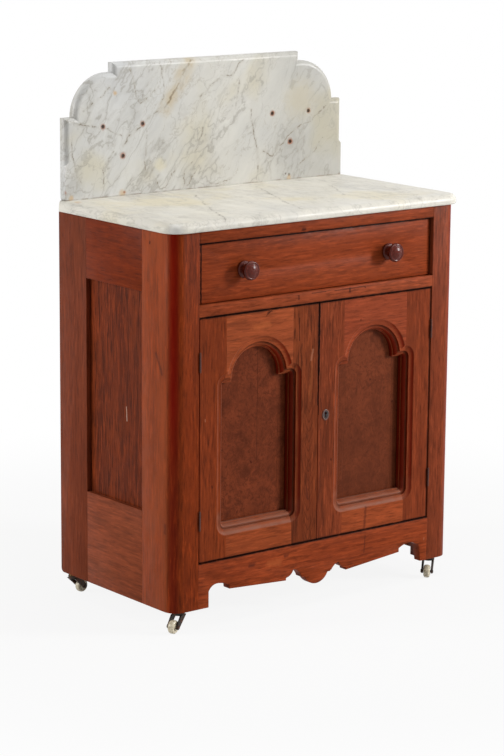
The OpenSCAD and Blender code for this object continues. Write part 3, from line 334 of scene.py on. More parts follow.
def burl(name, colour, seed, cracks=(), marks=(), contrast=1.0, dim=0.0):
    """Mottled veneer: clouds, swirls and small dark eyes."""
    n = Nodes(name)
    shift = (seed * 1.31, seed * 0.77, seed * 0.53)
    place = n.mapped(location=shift)
    warp = n.noise(place, 13.0, 3.0, 0.6, colour=True)
    bent = n.shifted(place, warp, 0.05)
    clouds = n.noise(bent, 26.0, 6.0, 0.68)
    swirl = n.noise(bent, 70.0, 5.0, 0.7, 1.6)
    eyes = n.cells(bent, 62.0, "F1")
    tone = n.ramp(clouds, [(0.30, shade(colour, 1.0 - 0.42 * contrast)), (0.47, colour),
                           (0.60, shade(colour, 1.0 + 0.20 * contrast)),
                           (0.75, shade(colour, 1.0 + 0.50 * contrast))])
    tone = n.mix(n.remap(swirl, 0.52, 0.38, 0.0, 0.46 * contrast), tone, shade(colour, 0.55))
    tone = n.mix(n.remap(swirl, 0.55, 0.68, 0.0, 0.46 * contrast), tone, shade(colour, 1.6))
    tone = n.mix(n.remap(eyes, 0.26, 0.08, 0.0, 0.45), tone, shade(colour, 0.38))
    broad = n.noise(n.mapped(scale=(1.0, 1.0, 0.45), location=shift), 9.0, 3.0, 0.5)
    tone = n.mix(n.remap(broad, 0.42, 0.68, 0.0, 0.34), tone, shade(colour, 0.66))
    fleck = n.noise(n.mapped(scale=(1, 1, 0.3), location=shift), 420.0, 2.0, 0.5)
    tone = n.mix(n.remap(fleck, 0.42, 0.32, 0.0, 0.45), tone, shade(colour, 0.45))
    x, _y, z = place_of(n)
    tone = n.mix(n.remap(z, *DIM_Z, 0.0, dim), tone, shade(colour, 0.55))
    wander = n.noise(n.mapped(scale=(0, 0, 1)), 14.0, 3.0, 0.6)
    height = n.math("ADD", n.math("MULTIPLY", clouds, 0.5), n.math("MULTIPLY", swirl, 0.3))
    for (crack_x, low, high, amount) in cracks:
        line = n.math("ADD", x, n.math("MULTIPLY", n.math("SUBTRACT", wander, 0.5), 0.010))
        gap = n.math("ABSOLUTE", n.math("SUBTRACT", line, crack_x))
        ends = n.math("MULTIPLY", n.remap(z, low, low + 0.02), n.remap(z, high, high - 0.02))
        crack = n.math("MULTIPLY", n.remap(gap, 0.0010, 0.0002), ends)
        tone = n.mix(n.math("MULTIPLY", crack, amount), tone, shade(colour, 0.22))
        height = n.math("SUBTRACT", height, n.math("MULTIPLY", crack, 1.5))
    tone = marked(n, tone, marks)
    return n.surface(tone, 0.42, n.bump(height, 0.0003, 0.5), Specular_IOR_Level=0.05)


def pine(name, axis, seed):
    """Unpolished secondary wood, aged and dusty."""
    n = Nodes(name)
    colour = srgb(166, 128, 84)
    stretch = [1.0, 1.0, 1.0]
    stretch[AXES[axis]] = 0.05
    along = n.mapped(scale=tuple(stretch), location=(seed * 0.37, seed * 0.19, seed * 0.71))
    bands = n.noise(along, 42.0, 4.0, 0.55, 0.4)
    fibres = n.noise(along, 420.0, 3.0, 0.6)
    stain = n.noise(n.coord, 6.0, 4.0, 0.6)
    tone = n.ramp(bands, [(0.34, shade(colour, 0.62)), (0.5, colour), (0.7, shade(colour, 1.22))])
    tone = n.mix(n.remap(fibres, 0.44, 0.34, 0.0, 0.4), tone, shade(colour, 0.5))
    tone = n.mix(n.remap(stain, 0.45, 0.7, 0.0, 0.45), tone, srgb(96, 70, 44))
    return n.surface(tone, 0.72, n.bump(fibres, 0.0003, 0.6), Specular_IOR_Level=0.3)


def vein_gap(n, point, veins):
    """Distance to the nearest of some veins, as a share of that vein's own half width."""
    nearest = None
    for width, points in veins:
        for a, b in zip(points, points[1:]):
            gap = n.math("DIVIDE", segment_gap(n, point, a, b), width * 1.3)
            nearest = gap if nearest is None else n.math("MINIMUM", nearest, gap)
    return nearest


LEFT_FADE_X = (0.05, -0.25)         # a tinted stone takes its left tint across these
RIGHT_FADE_X = (0.08, 0.28)         # and its painted shade on the right across these


def marble(name, seed, tilt, base, veins=(), brown=(), stains=(), grime_z=None, strength=1.0,
           left_tint=None, right_painted_shade=None):
    """Greyish white marble with a net of slanting veins, and the veins that stand out by name."""
    n = Nodes(name)
    shift = (seed * 0.61, seed * 0.93, seed * 0.37)
    turned = n.mapped(rotation=tilt, location=shift)
    place = n.mapped(turned, scale=(1.0, 1.0, 0.42))
    warp = n.noise(place, 9.0, 4.0, 0.6, colour=True)
    fine_warp = n.noise(turned, 42.0, 4.0, 0.62, colour=True)
    bent = n.shifted(n.shifted(place, warp, 0.10), fine_warp, 0.016)
    where = n.noise(place, 7.0, 3.0, 0.5)
    cloud = n.noise(bent, 16.0, 5.0, 0.62)
    tone = n.ramp(cloud, [(0.28, shade(base, 0.82)), (0.45, base), (0.62, shade(base, 1.08)),
                          (0.78, shade(base, 1.14))])
    warm = n.noise(n.mapped(location=(3.1, 0.7, 1.9)), 6.0, 3.0, 0.5)
    tone = n.mix(n.remap(warm, 0.50, 0.68, 0.0, 0.75), tone,
                 (base[0] * 1.02, base[1] * 0.96, base[2] * 0.78))
    tone = n.mix(n.remap(warm, 0.46, 0.30, 0.0, 0.50), tone,
                 (base[0] * 0.93, base[1] * 0.95, base[2] * 1.00))

    x, _y, z = place_of(n)
    if left_tint:
        tone = n.mix(n.remap(x, *LEFT_FADE_X), tone, left_tint, "MULTIPLY")
        # painted shade that darkens the right end of the stone
        tone = n.mix(n.remap(x, *RIGHT_FADE_X), tone, right_painted_shade, "MULTIPLY")

    def ridge(scale, width, detail):
        lump = n.noise(bent, scale, detail, 0.62)
        return n.remap(n.math("ABSOLUTE", n.math("SUBTRACT", lump, 0.5)), width, width * 0.08)

    smear = n.math("MULTIPLY", ridge(9.0, 0.060, 4.0), n.remap(where, 0.38, 0.60, 0.05, 0.24))
    broad = n.math("MULTIPLY", ridge(9.0, 0.014, 4.0), n.remap(where, 0.36, 0.56, 0.12, 0.50))
    narrow = n.math("MULTIPLY", ridge(22.0, 0.014, 4.0), n.remap(where, 0.62, 0.42, 0.10, 0.38))
    net = n.math("MULTIPLY", n.remap(n.cells(bent, 24.0), 0.030, 0.004),
                 n.remap(cloud, 0.60, 0.42, 0.08, 0.40))
    tone = n.mix(n.math("MULTIPLY", smear, strength), tone, srgb(166, 163, 158))
    tone = n.mix(n.math("MULTIPLY", broad, strength), tone, srgb(148, 143, 132))
    tone = n.mix(n.math("MULTIPLY", narrow, strength), tone, srgb(158, 149, 133))
    tone = n.mix(n.math("MULTIPLY", net, strength), tone, srgb(150, 145, 136))
    wobble = n.noise(n.coord, 36.0, 4.0, 0.62, colour=True)
    broken = n.noise(n.coord, 48.0, 3.0, 0.6)
    traced = n.shifted(n.coord, wobble, 0.020)
    height = n.math("MULTIPLY", cloud, 0.2)
    if veins:
        gap = vein_gap(n, traced, veins)
        halo = n.math("MULTIPLY", n.remap(gap, 3.6, 0.6, 0.0, 0.40), n.remap(
            broken, 0.36, 0.60, 0.35, 1.0))
        core = n.math("MULTIPLY", n.remap(gap, 1.0, 0.25, 0.0, 0.90), n.remap(
            broken, 0.36, 0.56, 0.45, 1.0))
        tone = n.mix(halo, tone, srgb(170, 164, 152))
        tone = n.mix(core, tone, srgb(130, 121, 106))
    if brown:
        gap = vein_gap(n, traced, brown)
        band = n.math("MULTIPLY", n.remap(gap, 6.5, 1.0, 0.0, 0.75), n.remap(
            broken, 0.34, 0.62, 0.4, 1.0))
        tone = n.mix(band, tone, srgb(186, 170, 138))
        tone = n.mix(n.math("MULTIPLY", n.remap(gap, 1.0, 0.3, 0.0, 0.75), n.remap(
            broken, 0.40, 0.60, 0.3, 1.0)), tone, srgb(118, 96, 66))
    # stains, and on the slab a painted light patch on its corner
    for (spot, radius, colour, amount) in stains:
        gap = n.vector("LENGTH", n.vector("SUBTRACT", n.coord, spot), None, "Value")
        gap = n.math("ADD", gap, n.math("MULTIPLY", n.noise(n.coord, 150.0, 3.0), radius))
        tone = n.mix(n.remap(gap, radius * 1.9, radius * 0.8, 0.0, amount), tone, colour)
    if grime_z is not None:
        dirt = n.noise(n.mapped(scale=(1.0, 1.0, 3.0)), 55.0, 3.0)
        line = n.math("MULTIPLY", n.remap(n.math("ABSOLUTE", n.math("SUBTRACT", z, grime_z)),
                                          0.0035, 0.0004), n.remap(dirt, 0.38, 0.60, 0.10, 0.75))
        tone = n.mix(line, tone, srgb(128, 112, 92))
    grain = n.noise(n.coord, 900.0, 2.0)
    rough = n.remap(n.noise(n.coord, 30.0, 4.0, 0.6), 0.3, 0.7, 0.30, 0.48)
    return n.surface(tone, rough, n.bump(n.math("ADD", height, n.math(
        "MULTIPLY", grain, 0.1)), 0.0004, 0.5), Specular_IOR_Level=0.35)


def old_iron(name, seed=0.0, dark=srgb(44, 38, 34), brown=srgb(98, 58, 36), metal=0.75):
    """Dark iron with brown rust in its pits."""
    n = Nodes(name)
    place = n.mapped(location=(seed, seed, seed))
    pits = n.noise(place, 420.0, 4.0, 0.7)
    rust = n.noise(place, 120.0, 4.0, 0.65)
    tone = n.mix(n.remap(rust, 0.46, 0.66, 0.0, 0.75), dark, brown)
    tone = n.mix(n.remap(pits, 0.42, 0.30, 0.0, 0.6), tone, srgb(18, 14, 12))
    rough = n.remap(rust, 0.35, 0.7, 0.42, 0.75)
    return n.surface(tone, rough, n.bump(pits, 0.0004, 0.7), Metallic=metal)


def old_brass(name):
    n = Nodes(name)
    tarnish = n.noise(n.coord, 160.0, 4.0, 0.65)
    tone = n.mix(n.remap(tarnish, 0.38, 0.62), srgb(158, 122, 66), srgb(74, 52, 32))
    return n.surface(tone, n.remap(tarnish, 0.3, 0.7, 0.3, 0.6),
                     n.bump(tarnish, 0.0002, 0.4), Metallic=0.9)


def ceramic(name):
    """Cream ceramic, worn grey on the tread."""
    n = Nodes(name)
    dirt = n.noise(n.coord, 210.0, 4.0, 0.6)
    tone = n.mix(n.remap(dirt, 0.40, 0.66, 0.0, 0.7), srgb(226, 216, 190), srgb(158, 142, 112))
    return n.surface(tone, n.remap(dirt, 0.3, 0.7, 0.22, 0.45), n.bump(dirt, 0.0002, 0.4))


# ---------- pieces made from the solids, with worn edges ----------

ROUNDED_ABOVE = math.radians(32)    # edges that bend more than this are rounded
SHADED_SHARP = math.radians(50)     # edges that bend more than this are shaded sharp
FLAT_BELOW = math.radians(0.4)      # faces that bend less than this become one


def softened(node, width, reshape=None):
    """A copy of a solid whose sharp edges are rounded as handling rounds them. reshape moves its
    corners first."""
    mesh = NODES[node].data.copy()
    mesh.name = node + "_worn"
    for layer in ("custom_normal", "sharp_face"):
        if layer in mesh.attributes:
            mesh.attributes.remove(mesh.attributes[layer])
    body = bmesh.new()
    body.from_mesh(mesh)
    bmesh.ops.remove_doubles(body, verts=body.verts, dist=1e-6)
    bmesh.ops.dissolve_limit(body, angle_limit=FLAT_BELOW, verts=body.verts,
                             edges=body.edges, use_dissolve_boundaries=False)
    for edge in body.edges:
        edge.smooth = True
    if reshape:
        for vertex in body.verts:
            reshape(vertex.co)
    body.to_mesh(mesh)
    body.free()
    piece = bpy.data.objects.new(node + "_worn", mesh)
    bpy.context.scene.collection.objects.link(piece)
    rounding = piece.modifiers.new("rounding", "BEVEL")
    rounding.width = width
    rounding.segments = 2
    rounding.limit_method = "ANGLE"
    rounding.angle_limit = ROUNDED_ABOVE
    rounding.use_clamp_overlap = True
    rounding.miter_outer = "MITER_ARC"
    bpy.context.view_layer.update()
    rounded = bpy.data.meshes.new_from_object(piece.evaluated_get(
        bpy.context.evaluated_depsgraph_get()))
    rounded.name = node + "_worn"
    piece.modifiers.clear()
    piece.data = rounded
    for polygon in rounded.polygons:
        polygon.use_smooth = True
    rounded.set_sharp_from_angle(angle=SHADED_SHARP)
    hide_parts(node)
    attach(piece, BODY_OF[node])
    return piece


def paint(target, material):
    """Gives every slot of an object one material."""
    mesh = target.data
    if not mesh.materials:
        mesh.materials.append(material)
    for index in range(len(mesh.materials)):
        mesh.materials[index] = material


# ---------- painted light and shade that follow the form ---

QUIRK = 0.0077                      # depth of the groove in the moulded edge of the doors
FOOT_RUB_AND_SHEEN_Z = (0.235, 0.215)         # the edge is painted lighter below these heights, as rub and dust and as painted highlight
CORNER_R = 0.0215                   # the part of the post's round corner painted dark as shade
CORNER_FADE_Z = (0.36, 0.52)        # its painted shade fades between these heights


def facing(n):
    """The three parts of the surface's direction, in the piece's own frame."""
    split = n.add("ShaderNodeSeparateXYZ")
    n.put(split.inputs[0], n.add("ShaderNodeTexCoord").outputs["Normal"])
    return split.outputs["X"], split.outputs["Y"], split.outputs["Z"]


def moulding_light_and_shade(n, tone, place, colour, foot_rub_and_sheen=1.0):
    """The moulded edge of a door frame: painted shade, dark red, on the flanks that look to the left,
    away from the light, and a painted highlight on those that look to the right; paler along the
    foot and low down, as painted highlight and as rub and dust; painted shade as a dark line in its
    groove and deep down at the panel."""
    _x, y, z = place
    nx, ny, nz = facing(n)
    sunk = n.remap(y, DOOR_FACE + 0.0003, DOOR_FACE + 0.0012)
    rub_and_sheen = n.remap(n.noise(n.coord, 40.0, 3.0), 0.34, 0.62, 0.45, 1.0)
    low_rub_and_sheen = n.math("MULTIPLY", rub_and_sheen, foot_rub_and_sheen)
    # painted shade on the flanks that look away from the light
    away = n.math("MULTIPLY", sunk, n.remap(nx, -0.10, -0.55))
    tone = n.mix(n.math("MULTIPLY", away, 0.85), tone,
                 (colour[0] * 0.72, colour[1] * 0.17, colour[2] * 0.04))
    # painted highlight on the flanks that look towards the light
    bright = n.math("MULTIPLY", sunk, n.remap(nx, 0.20, 0.60))
    tone = n.mix(n.math("MULTIPLY", n.math("MULTIPLY", bright, rub_and_sheen), 0.55), tone,
                 srgb(154, 88, 62))
    # painted highlight, with rub and dust, on the foot that looks up and low on the moulding
    foot = n.math("MULTIPLY", sunk, n.remap(nz, 0.10, 0.45))
    tone = n.mix(n.math("MULTIPLY", n.math("MULTIPLY", foot, low_rub_and_sheen), 0.80), tone,
                 srgb(140, 88, 68))
    level = n.math("MULTIPLY", sunk, n.remap(z, *FOOT_RUB_AND_SHEEN_Z))
    tone = n.mix(n.math("MULTIPLY", n.math("MULTIPLY", level, low_rub_and_sheen), 0.65), tone,
                 srgb(140, 86, 66))
    # painted shade in the groove
    quirk = n.math("MULTIPLY", n.remap(n.math("ABSOLUTE", n.math(
        "SUBTRACT", y, DOOR_FACE + QUIRK)), 0.0012, 0.0003), n.remap(ny, -0.30, -0.75))
    tone = n.mix(n.math("MULTIPLY", quirk, 0.50), tone, shade(colour, 0.14))
    # painted shade deep down at the panel
    deep = n.math("MULTIPLY", n.remap(y, PANEL_FACE - 0.0030, PANEL_FACE - 0.0004),
                  n.remap(ny, 0.60, 0.20, 0.0, 0.80))
    return n.mix(deep, tone, shade(colour, 0.10))


def dark_edge(n, tone, place, colour):
    """The moulded edge of a stile that turns away from the light, with little painted highlight and
    rub at its foot.
    """
    return moulding_light_and_shade(n, tone, place, colour, 0.2)


def post_shade_and_sheen(n, tone, place, _colour):
    """Painted shade, dark red, in the round outer corner of a post, paler towards the foot, and a
    painted sheen that makes the side face lighter."""
    x, y, z = place
    # painted sheen on the side face
    side = n.math("MULTIPLY", n.remap(n.math("ABSOLUTE", x), CASE_X - 0.002, CASE_X - 0.0005),
                  n.remap(n.noise(n.mapped(scale=(1.0, 1.0, 0.2)), 30.0, 3.0), 0.30, 0.65,
                          0.55, 1.0))
    tone = n.mix(n.math("MULTIPLY", side, 0.42), tone, srgb(156, 80, 46))
    # painted shade in the round corner
    out = n.math("SUBTRACT", n.math("ABSOLUTE", x), CASE_X - CORNER_R)
    deep = n.math("SUBTRACT", CASE_Y + CORNER_R, y)
    both = n.math("MULTIPLY", n.math("MAXIMUM", out, 0.0), n.math("MAXIMUM", deep, 0.0))
    band = n.remap(both, 0.00004, 0.00022)
    upper = n.remap(n.math("ADD", z, n.math("MULTIPLY", n.noise(n.coord, 14.0, 3.0), 0.12)),
                    *CORNER_FADE_Z, 0.45, 0.95)
    return n.mix(n.math("MULTIPLY", band, upper), tone, srgb(124, 5, 0))


def on_door(x, z):
    return (x, DOOR_FACE, z)


def on_front(x, z):
    return (x, CASE_Y, z)


def on_panel(x, z):
    return (x, PANEL_FACE, z)


MARKS = {
    "side_panel_left": [
        ("scratch", (SIDE_SUNK, -0.0141, 0.4219), (SIDE_SUNK, -0.0156, 0.3943), 0.0013)],
    "front_post_left": [
        ("smudge", (-CASE_X, -0.1248, 0.5483), (-CASE_X, -0.1441, 0.5109), 0.0052),
        ("knot", (-CASE_X, -0.1055, 0.7589), (-CASE_X, -0.1050, 0.7560), 0.0035),
        ("crack", (-CASE_X, -0.0730, 0.5800), (-CASE_X, -0.0735, 0.5680), 0.0014),
        ("smudge", (-CASE_X, -0.1541, 0.2169), (-CASE_X, -0.1530, 0.1990), 0.0045)],
    "drawer_front": [
        # painted shadow in the drawer's recess beside the post
        ("gap", (-0.2867, DRAWER_FACE, 0.7600), (-0.2867, DRAWER_FACE, 0.6380), 0.0023)],
    "front_top_rail": [
        ("crack", on_front(-0.2934, 0.7590), on_front(-0.2934, 0.7820), 0.0013),
        ("smudge", on_front(-0.0451, 0.7651), on_front(-0.0400, 0.7655), 0.0060),
        ("knot", on_front(-0.0480, 0.7625), on_front(-0.0380, 0.7640), 0.0022)],
    "divider_rail": [
        ("knot", on_front(-0.0531, 0.6345), on_front(-0.0525, 0.6280), 0.0030),
        ("knot", on_front(0.0770, 0.6350), on_front(0.0775, 0.6290), 0.0034),
        ("crack", on_front(-0.0204, 0.6355), on_front(0.0150, 0.6358), 0.0016),
        ("crack", on_front(0.0382, 0.6350), on_front(0.1159, 0.6358), 0.0019),
        ("knot", on_front(0.1159, 0.6340), on_front(0.1175, 0.6335), 0.0022)],
    "left_top_rail": [
        ("knot", on_door(-0.1292, 0.6086), on_door(-0.1260, 0.6095), 0.0042),
        ("crack", on_door(-0.1370, 0.6160), on_door(-0.1180, 0.6105), 0.0014),
        ("crack", on_door(-0.1330, 0.6030), on_door(-0.1200, 0.6130), 0.0013),
        ("orange", on_door(-0.1600, 0.5850), on_door(-0.1280, 0.5844), 0.0120),
        ("crack", on_door(-0.2110, 0.5312), on_door(-0.1990, 0.5303), 0.0012)],
    "left_bottom_rail": [
        ("knot", on_door(-0.0864, 0.1883), on_door(-0.0855, 0.1860), 0.0028)],
    "right_bottom_rail": [
        ("smudge", on_door(0.1295, 0.1807), on_door(0.1252, 0.1374), 0.0048)],
    "right_top_rail": [
        ("knot", on_door(0.1078, 0.5705), on_door(0.1076, 0.5670), 0.0020)],
    "right_inner_stile": [
        ("knot", on_door(0.0351, 0.2945), on_door(0.0354, 0.2925), 0.0030),
        ("smudge", on_door(0.0060, 0.4220), on_door(0.0090, 0.3980), 0.0026),
        ("smudge", on_door(0.0070, 0.3600), on_door(0.0075, 0.2300), 0.0022),
        # painted shadow of the gap between the doors
        ("gap", on_door(0.0010, 0.6300), on_door(0.0008, 0.4700), 0.0026),
        ("gap", on_door(0.0006, 0.4700), on_door(0.0004, 0.3900), 0.0015)],
    "left_outer_stile": [
        ("knot", on_door(-0.2633, 0.2844), on_door(-0.2630, 0.2805), 0.0026),
        ("pale", on_door(-0.2800, 0.4180), on_door(-0.2800, 0.4140), 0.0020)],
    "left_inner_stile": [
        ("pale", on_door(-0.0152, 0.5222), on_door(-0.0190, 0.5020), 0.0040),
        ("streak", on_door(-0.0170, 0.5000), on_door(-0.0212, 0.4224), 0.0050),
        ("crack", on_door(-0.0500, 0.5900), on_door(-0.0500, 0.5450), 0.0018),
        # painted shadow of the gap between the doors
        ("gap", on_door(-0.0010, 0.6300), on_door(-0.0010, 0.4100), 0.0018),
        ("smudge", on_door(-0.0280, 0.2450), on_door(-0.0240, 0.2230), 0.0030)],
    "apron": [
        ("smudge", on_front(0.1273, 0.1205), on_front(0.1254, 0.0872), 0.0028),
        ("smudge", on_front(-0.1693, 0.1105), on_front(-0.1600, 0.1085), 0.0080),
        ("smudge", on_front(-0.0812, 0.1139), on_front(-0.0740, 0.1150), 0.0060),
        ("orange", on_front(-0.1200, 0.1030), on_front(-0.0950, 0.1040), 0.0110),
        ("pale", on_front(0.2887, 0.0896), on_front(0.2885, 0.0870), 0.0022)],
}

# The apron's lower edge rises from the notches to the foot arches, its right half hangs a little
# lower, and its back is planed off towards that edge
APRON_LOW, APRON_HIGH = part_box("apron")
APRON_LIFT = 0.0205                 # lower edge above the end of the feet
NOTCH_START = 0.0385                # from the middle, as the next three
NOTCH_END = 0.0775
ARCH_START = 0.2180
FOOT_START = 0.2660
EDGE_RISE = 0.0085
RIGHT_DROP = 0.0045
PLANED_OFF = 0.0074
FOOT_WORN = 0.0040                  # worn off the inner side of the right foot, twice at its end
FOOT_WIDTH = 0.0060                 # this much of the foot, up to the next height
FOOT_HEIGHT = 0.0400
OUTLINE_HIGH = 0.0600               # the outline's corners lie below this height
NEAR = 0.0010                       # a corner this close to a size lies on it


def worn_apron(point):
    """Where a point of the apron's outline lies on the old board."""
    height = point.z - APRON_LOW[2]
    out = abs(point.x)
    if abs(height - APRON_LIFT) < NEAR and out > NOTCH_END - NEAR:
        point.z += EDGE_RISE * (out - NOTCH_END) / (ARCH_START - NOTCH_END)
    if point.x > 0 and NOTCH_START < out < ARCH_START + NEAR and (
            height < APRON_LIFT + NEAR or out < NOTCH_END + NEAR) and height < OUTLINE_HIGH:
        point.z -= RIGHT_DROP
    if FOOT_START < point.x < FOOT_START + FOOT_WIDTH and height < FOOT_HEIGHT:
        point.x += FOOT_WORN * (2.0 - height / FOOT_HEIGHT)
    depth = (point.y - APRON_LOW[1]) / (APRON_HIGH[1] - APRON_LOW[1])
    point.y -= depth * PLANED_OFF * (APRON_HIGH[2] - APRON_LOW[2] - height) / (
        APRON_HIGH[2] - APRON_LOW[2])


# node: grain axis, colour, seed, contrast, edges that darken with dirt and painted gap shade
BOARDS = {
    "front_post_left": ("z", "post", 1, 1.15, ""), "front_post_right": ("z", "post_right", 2, 1.0, ""),
    "rear_stile_left": ("z", "rear", 3, 0.8, ""), "rear_stile_right": ("z", "rear", 4, 0.8, ""),
    "side_top_rail_left": ("y", "side", 5, 0.7, ""),
    "side_top_rail_right": ("y", "side", 6, 0.7, ""),
    "side_bottom_rail_left": ("y", "side_low", 7, 0.8, ""),
    "side_bottom_rail_right": ("y", "side_low", 8, 0.8, ""),
    "front_top_rail": ("x", "rail", 9, 0.8, "z"), "divider_rail": ("x", "divider", 10, 1.0, "z"),
    "apron": ("x", "apron", 11, 1.0, "Z"), "drawer_front": ("x", "drawer", 12, 0.8, "xXZ"),
    "left_outer_stile": ("z", "outer", 13, 1.1, "zZ"),
    "right_outer_stile": ("z", "right_outer", 14, 0.9, "XzZ"),
    "left_inner_stile": ("z", "inner", 15, 1.3, "zZ"),
    "right_inner_stile": ("z", "right_inner", 16, 1.2, "zZ"),
    "left_top_rail": ("x", "head", 17, 0.8, "Z"), "right_top_rail": ("x", "right_head", 18, 0.7, "Z"),
    "left_bottom_rail": ("x", "bottom", 19, 0.9, "z"),
    "right_bottom_rail": ("x", "bottom", 20, 0.9, "z"),
    "side_panel_left": ("z", "side_panel", 23, 1.7, ""),
    "side_panel_right": ("z", "side_panel", 24, 1.7, ""),
}
WORN = {
    "front_post_left": 0.0008, "front_post_right": 0.0008, "rear_stile_left": 0.001,
    "rear_stile_right": 0.001, "side_top_rail_left": 0.0006, "side_top_rail_right": 0.0006,
    "side_bottom_rail_left": 0.0006, "side_bottom_rail_right": 0.0006, "front_top_rail": 0.0008,
    "divider_rail": 0.0016, "apron": 0.0014, "drawer_front": 0.0012,
}
CHEVRONS = (-0.023, 0.435, 0.017, 0.020)   # middle, top, half width, pitch
DOOR_FRAMES = [side + "_" + part for side in ("left", "right")
               for part in ("outer_stile", "inner_stile", "top_rail", "bottom_rail")]


def form_light_and_shade_of(board):
    """The painted light and shade that follow the form of a board, if it has any."""
    if board.startswith("front_post"):
        return post_shade_and_sheen
    if board in ("left_inner_stile", "right_outer_stile"):
        return dark_edge
    return moulding_light_and_shade if board in DOOR_FRAMES else None


for board, (axis, colour, seed, contrast, edges) in BOARDS.items():
    finish = wood(board + "_wood", axis, WOOD[colour], seed, contrast, MARKS.get(board, ()),
                  (board, edges) if edges else None,
                  CHEVRONS if board == "left_inner_stile" else None, form_light_and_shade_of(board))
    if board in WORN:
        paint(softened(board, WORN[board], reshape=worn_apron if board == "apron" else None),
              finish)
    else:
        paint(NODES[board], finish)
for index, knob in enumerate(("knob_left", "knob_right")):
    paint(NODES[knob], wood(knob + "_wood", "y", WOOD["knob"], 25 + index, 0.5, gloss=0.22,
                            roughness=0.26))

paint(NODES["left_panel"], burl(
    "left_burl", srgb(110, 51, 28), 1.0,
    [(-0.1345, 0.30, 0.56, 0.60), (-0.0835, 0.24, 0.40, 0.50), (-0.2150, 0.17, 0.30, 0.25)],
    [("knot", on_panel(-0.1484, 0.3123), on_panel(-0.1478, 0.3105), 0.0040)], contrast=1.35))
paint(NODES["right_panel"], burl(
    "right_burl", srgb(112, 54, 31), 2.0,
    [(0.2130, 0.20, 0.50, 0.35), (0.0880, 0.17, 0.34, 0.20)],
    [("knot", on_panel(0.1559, 0.4381), on_panel(0.1565, 0.4370), 0.0030),
     ("knot", on_panel(0.2162, 0.3847), on_panel(0.2158, 0.3835), 0.0030)], dim=0.40))

SECONDARY = {
    "back_boards": "x", "cupboard_floor": "x", "floor_cleats": "y", "drawer_runners": "y",
    "drawer_guides": "y", "drawer_kickers": "y", "drawer_side_left": "y",
    "drawer_side_right": "y", "drawer_back": "x", "drawer_bottom": "x",
}
for index, (node, axis) in enumerate(SECONDARY.items()):
    paint(NODES[node], pine(node + "_pine", axis, index + 1.0))

# a finish, and how the names of the nodes that wear it start
HARDWARE = [
    (old_iron("old_iron"), ("backsplash_pins", "lock_case", "bolt_barrel", "bolt_rod", "caster_fork")),
    (old_iron("waxed_hinge_iron", 3.0, srgb(72, 36, 26), srgb(104, 56, 38), 0.25),
     ("hinge_frame_leaves", "left_door_leaves", "right_door_leaves", "hinge_pins")),
    (old_iron("dark_plate", 6.0, srgb(26, 14, 11), srgb(38, 20, 15), 0.0), ("escutcheon",)),
    (old_brass("old_brass"), ("caster_sockets", "lock_bolt")),
    (ceramic("cream_ceramic"), ("caster_wheel",)),
]
for finish, starts in HARDWARE:
    for node in NODES:
        if node.startswith(starts):
            paint(NODES[node], finish)

RIM_SEAT = 0.0003                   # how far the rim stands into its plate


def oval_rim(name, node, margin, width, proud):
    """A rounded rim on the edge of a flat plate that faces the front."""
    low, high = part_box(node)
    middle = ((low[0] + high[0]) / 2, (low[2] + high[2]) / 2)
    outer = ((high[0] - low[0]) / 2 + margin, (high[2] - low[2]) / 2 + margin)
    turns, arcs = 56, 9
    section = [(width / 2 * (1.0 - math.cos(math.pi * step / (arcs - 1))),
                -proud * math.sin(math.pi * step / (arcs - 1))) for step in range(arcs)]
    points = []
    for turn in range(turns):
        angle = 2 * math.pi * turn / turns
        for inward, forward in section:
            points.append((middle[0] + (outer[0] - inward) * math.cos(angle),
                           low[1] + forward + RIM_SEAT,
                           middle[1] + (outer[1] - inward) * math.sin(angle)))
    faces = []
    for turn in range(turns):
        here, after = turn * arcs, (turn + 1) % turns * arcs
        for step in range(arcs):
            ahead = (step + 1) % arcs
            faces.append((here + step, here + ahead, after + ahead, after + step))
    mesh = bpy.data.meshes.new(name)
    mesh.from_pydata(points, [], faces)
    for polygon in mesh.polygons:
        polygon.use_smooth = True
    mesh.set_sharp_from_angle(angle=SHADED_SHARP)
    rim = bpy.data.objects.new(name, mesh)
    bpy.context.scene.collection.objects.link(rim)
    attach(rim, BODY_OF[node])
    return rim


paint(oval_rim("escutcheon_rim", "escutcheon", 0.0008, 0.0030, 0.0008),
      old_iron("rubbed_rim", 5.0, srgb(88, 52, 40), srgb(112, 66, 46), 0.0))


# ---------- marble ----------

def on_splash(points):
    return [(x, SPLASH_FACE, z) for x, z in points]


